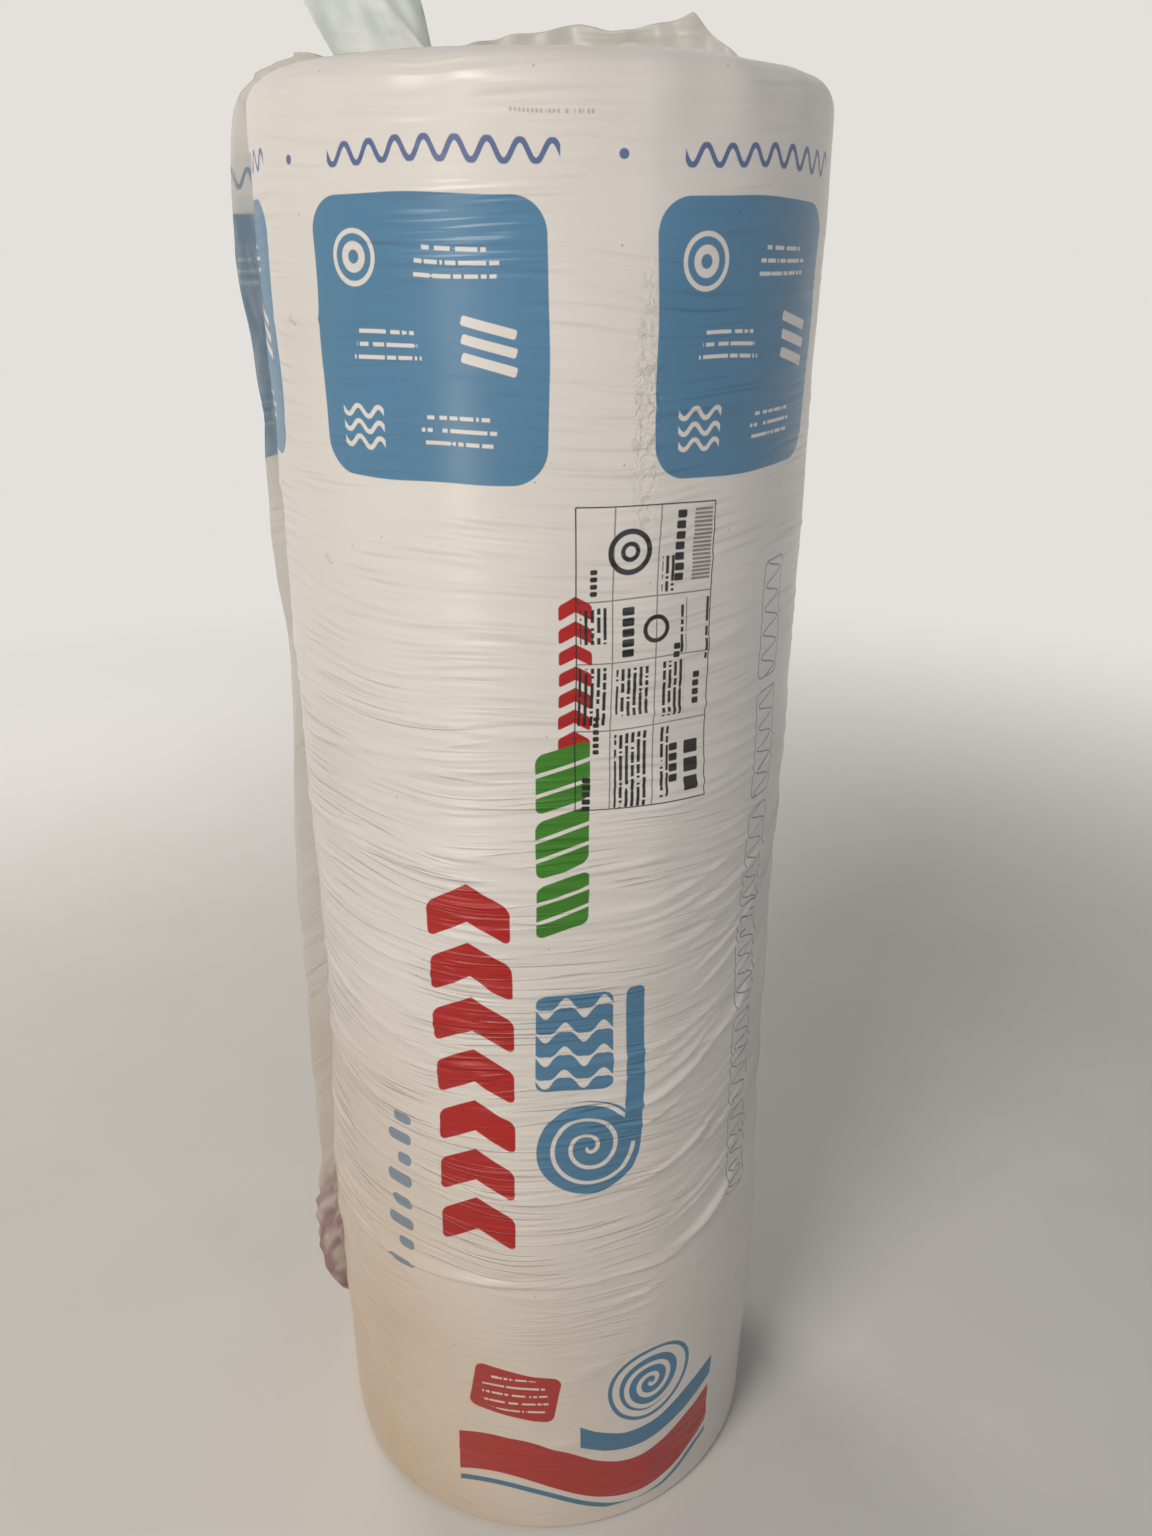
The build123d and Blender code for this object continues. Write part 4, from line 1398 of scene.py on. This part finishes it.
# %% Glass wool
def glass_wool():
    """Yellow felt: fine fibre lines round the roll, tufts of 4 mm, and a matt, fuzzy face."""
    material, tree, shader = new_material("glass wool felt")
    point = node(tree, "TexCoord", out="Object")
    x, y, z = node(tree, "SeparateXYZ", point).node.outputs
    flat = node(tree, "CombineXYZ", x, y)
    away = node(tree, "VectorMath.LENGTH", flat, out=1)
    angle = node(tree, "Math.ARCTAN2", y, x)
    along = node(tree, "Math.MULTIPLY", angle, 5.0)
    across = node(tree, "Math.MULTIPLY", away, 900.0)
    lay = node(tree, "CombineXYZ", along, across, z)
    fibre = node(tree, "TexNoise", {"Vector": lay, "Scale": 1.0, "Detail": 4.0, "Roughness": 0.7})
    tuft = node(tree, "TexNoise", {"Vector": point, "Scale": 240.0, "Detail": 5.0, "Roughness": 0.65})
    mixed = node(tree, "Math.ADD", fibre, tuft)
    tone = node(tree, "MapRange", mixed, 0.8, 1.2, 0.0, 1.0)
    colour = node(tree, "Mix", {0: tone, 6: linear("#b8974a"), 7: linear("#e9d089")}, **COLOURS)
    bump = node(tree, "Bump", {"Height": mixed, "Strength": 0.8, "Distance": 0.002})
    feed(tree, shader, {"Base Color": colour, "Roughness": 0.92, "Sheen Weight": 0.3, "Normal": bump})
    return material


face = printed_polyethylene("printed polyethylene film")
lap_face = printed_polyethylene("lap of printed polyethylene film", loose=0.5)
loose_face = printed_polyethylene("loose printed polyethylene film", loose=0.7)
back = film_back("polyethylene film, back", 0.25, 0.8, "#dddad3", "#9fbdd0")
# The lap's back is a lighter copy of the film's back, whiter and with paler show-through: painted light on
# its inner side, which the lamps barely reach.
lap_back_painted_lighter = film_back("loose polyethylene film, back", 0.72, 0.35, "#f3f3f2", "#b4cbda")
clear, felt = clear_film(), glass_wool()
print("materials:", [m.name for m in (face, lap_face, loose_face, back, lap_back_painted_lighter, clear, felt)])

# %% [markdown]
# ## Putting the pieces together
#
# Film is a tenth of a millimetre thick, drawn here as 0.3 to 0.4 mm so that its edges still show.
# Every film piece stands for the CAD wrapper, and the felt for the CAD roll.

# %% Thickness, materials, and what each piece stands for
def thicken(piece, amount, second_skin):
    """Gives a sheet its thickness. The second skin takes the next material."""
    solidify = piece.modifiers.new("film thickness", "SOLIDIFY")
    solidify.thickness = amount
    solidify.offset = 0.0
    solidify.material_offset = second_skin


for piece, materials, amount in (
    (sleeve, (face,), None),
    (top, (face, back), 0.0003),
    (base, (face, back), 0.0003),
    (lap, (lap_face, lap_back_painted_lighter), 0.0004),
    (hem, (back, loose_face), 0.0004),
    (strip, (clear,), 0.0004),
    (wool, (felt,), None),
):
    for material in materials:
        piece.data.materials.append(material)
    if amount:
        thicken(piece, amount, len(materials) - 1)
    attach(piece, "root")
    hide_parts("wool_roll" if piece is wool else "film_wrap")

# %% [markdown]
# ## Floor and light
#
# A plain pale floor fades into a background of the same tone, so no horizon crosses the picture.
# The world is a soft grey light, and only camera, mirror and glass rays see it as pale. A tall
# softbox at the right gives the upright soft shine that tight film shows, and a wide one at the
# left is the main light, from the side that is brighter in the photograph. A low one at the left
# warms the foot of the roll, and one at the rear left shines through the lap, and no mirror sees it.

# %% Floor, world and lamps
FLOOR_TONE = "#e4e1dc"


def pale_floor():
    """Floor of 14 m whose material turns, from 0.9 to 3.2 m out, into the background's own brightness."""
    mesh = bpy.data.meshes.new("floor")
    side = 7.0
    corners = [(-side, -side, 0), (side, -side, 0), (side, side, 0), (-side, side, 0)]
    mesh.from_pydata(corners, [], [(0, 1, 2, 3)])
    floor = bpy.data.objects.new("floor", mesh)
    scene.collection.objects.link(floor)
    material, tree, shader = new_material("painted studio floor")
    point = node(tree, "TexCoord", out="Object")
    away = node(tree, "VectorMath.LENGTH", point, out=1)
    fade = node(tree, "MapRange", away, 0.9, 3.2, 0.0, 1.0, **SMOOTH)
    mottle = node(tree, "TexNoise", {"Vector": point, "Scale": 6.0, "Detail": 3.0})
    tone = node(tree, "Mix", {0: mottle, 6: linear("#dedbd5"), 7: linear("#e6e3de")}, **COLOURS)
    feed(tree, shader, {"Base Color": tone, "Roughness": 0.75})
    glow = node(tree, "Emission", {"Color": linear(FLOOR_TONE), "Strength": 1.0})
    mixed = node(tree, "MixShader", fade, shader.outputs[0], glow)
    feed(tree, tree.nodes["Material Output"], {"Surface": mixed})
    mesh.materials.append(material)


def studio_world(left, right):
    """Soft light that falls off evenly from left to right.

    Camera, glossy and transmission rays see the background's own tone instead.
    """
    world = bpy.data.worlds.new("studio")
    world.use_nodes = True
    tree = world.node_tree
    tree.nodes.clear()
    rays = tree.nodes.new("ShaderNodeLightPath").outputs
    seen = node(tree, "Math.MAXIMUM", rays["Is Camera Ray"], rays["Is Glossy Ray"])
    seen = node(tree, "Math.MAXIMUM", seen, rays["Is Transmission Ray"])
    sideways, _, _ = node(tree, "SeparateXYZ", node(tree, "TexCoord", out="Generated")).node.outputs
    strength = node(tree, "MapRange", sideways, -1.0, 1.0, left, right)
    light = node(tree, "Background", {"Color": linear("#f4f6f8"), "Strength": strength})
    sight = node(tree, "Background", {"Color": linear(FLOOR_TONE), "Strength": 1.0})
    mixed = node(tree, "MixShader", seen, light, sight)
    feed(tree, tree.nodes.new("ShaderNodeOutputWorld"), {"Surface": mixed})
    scene.world = world


def softbox(name, place, target, width, height, watts, hex_colour):
    """Rectangular area lamp at place, its back turned away from target."""
    lamp = bpy.data.lights.new(name, "AREA")
    lamp.shape = "RECTANGLE"
    lamp.size, lamp.size_y = width, height
    lamp.energy = watts
    lamp.color = linear(hex_colour)[:3]
    thing = bpy.data.objects.new(name, lamp)
    backward = np.array(place, float) - np.array(target, float)
    backward /= np.linalg.norm(backward)
    sideways = np.cross([0, 0, 1], backward)
    sideways /= np.linalg.norm(sideways)
    upward = np.cross(backward, sideways)
    turn = np.eye(4)
    turn[:3, :3] = np.stack([sideways, upward, backward], axis=1)
    turn[:3, 3] = place
    thing.matrix_world = Matrix(turn.tolist())
    scene.collection.objects.link(thing)
    return thing


pale_floor()
studio_world(0.27, 0.12)
LAMPS = [
    softbox("main softbox left", (-1.3, -2.1, 2.6), (0, 0, 0.7), 1.1, 1.1, 42.0, "#fff9f2"),
    softbox("low softbox left", (-1.35, -2.2, 0.62), (0, 0, 0.6), 0.40, 1.15, 8.5, "#fff0e0"),
    softbox("tall softbox right", (1.25, -1.85, 1.25), (0, 0, 0.85), 0.20, 1.9, 3.5, "#e4eeff"),
    softbox("rear softbox left", (-1.5, 2.2, 1.5), (0, 0, 0.7), 1.2, 1.5, 30.0, "#fffaf4"),
]
for lamp in LAMPS:
    lamp.visible_camera = False
LAMPS[-1].visible_glossy = False
scene.view_settings.view_transform = "Standard"
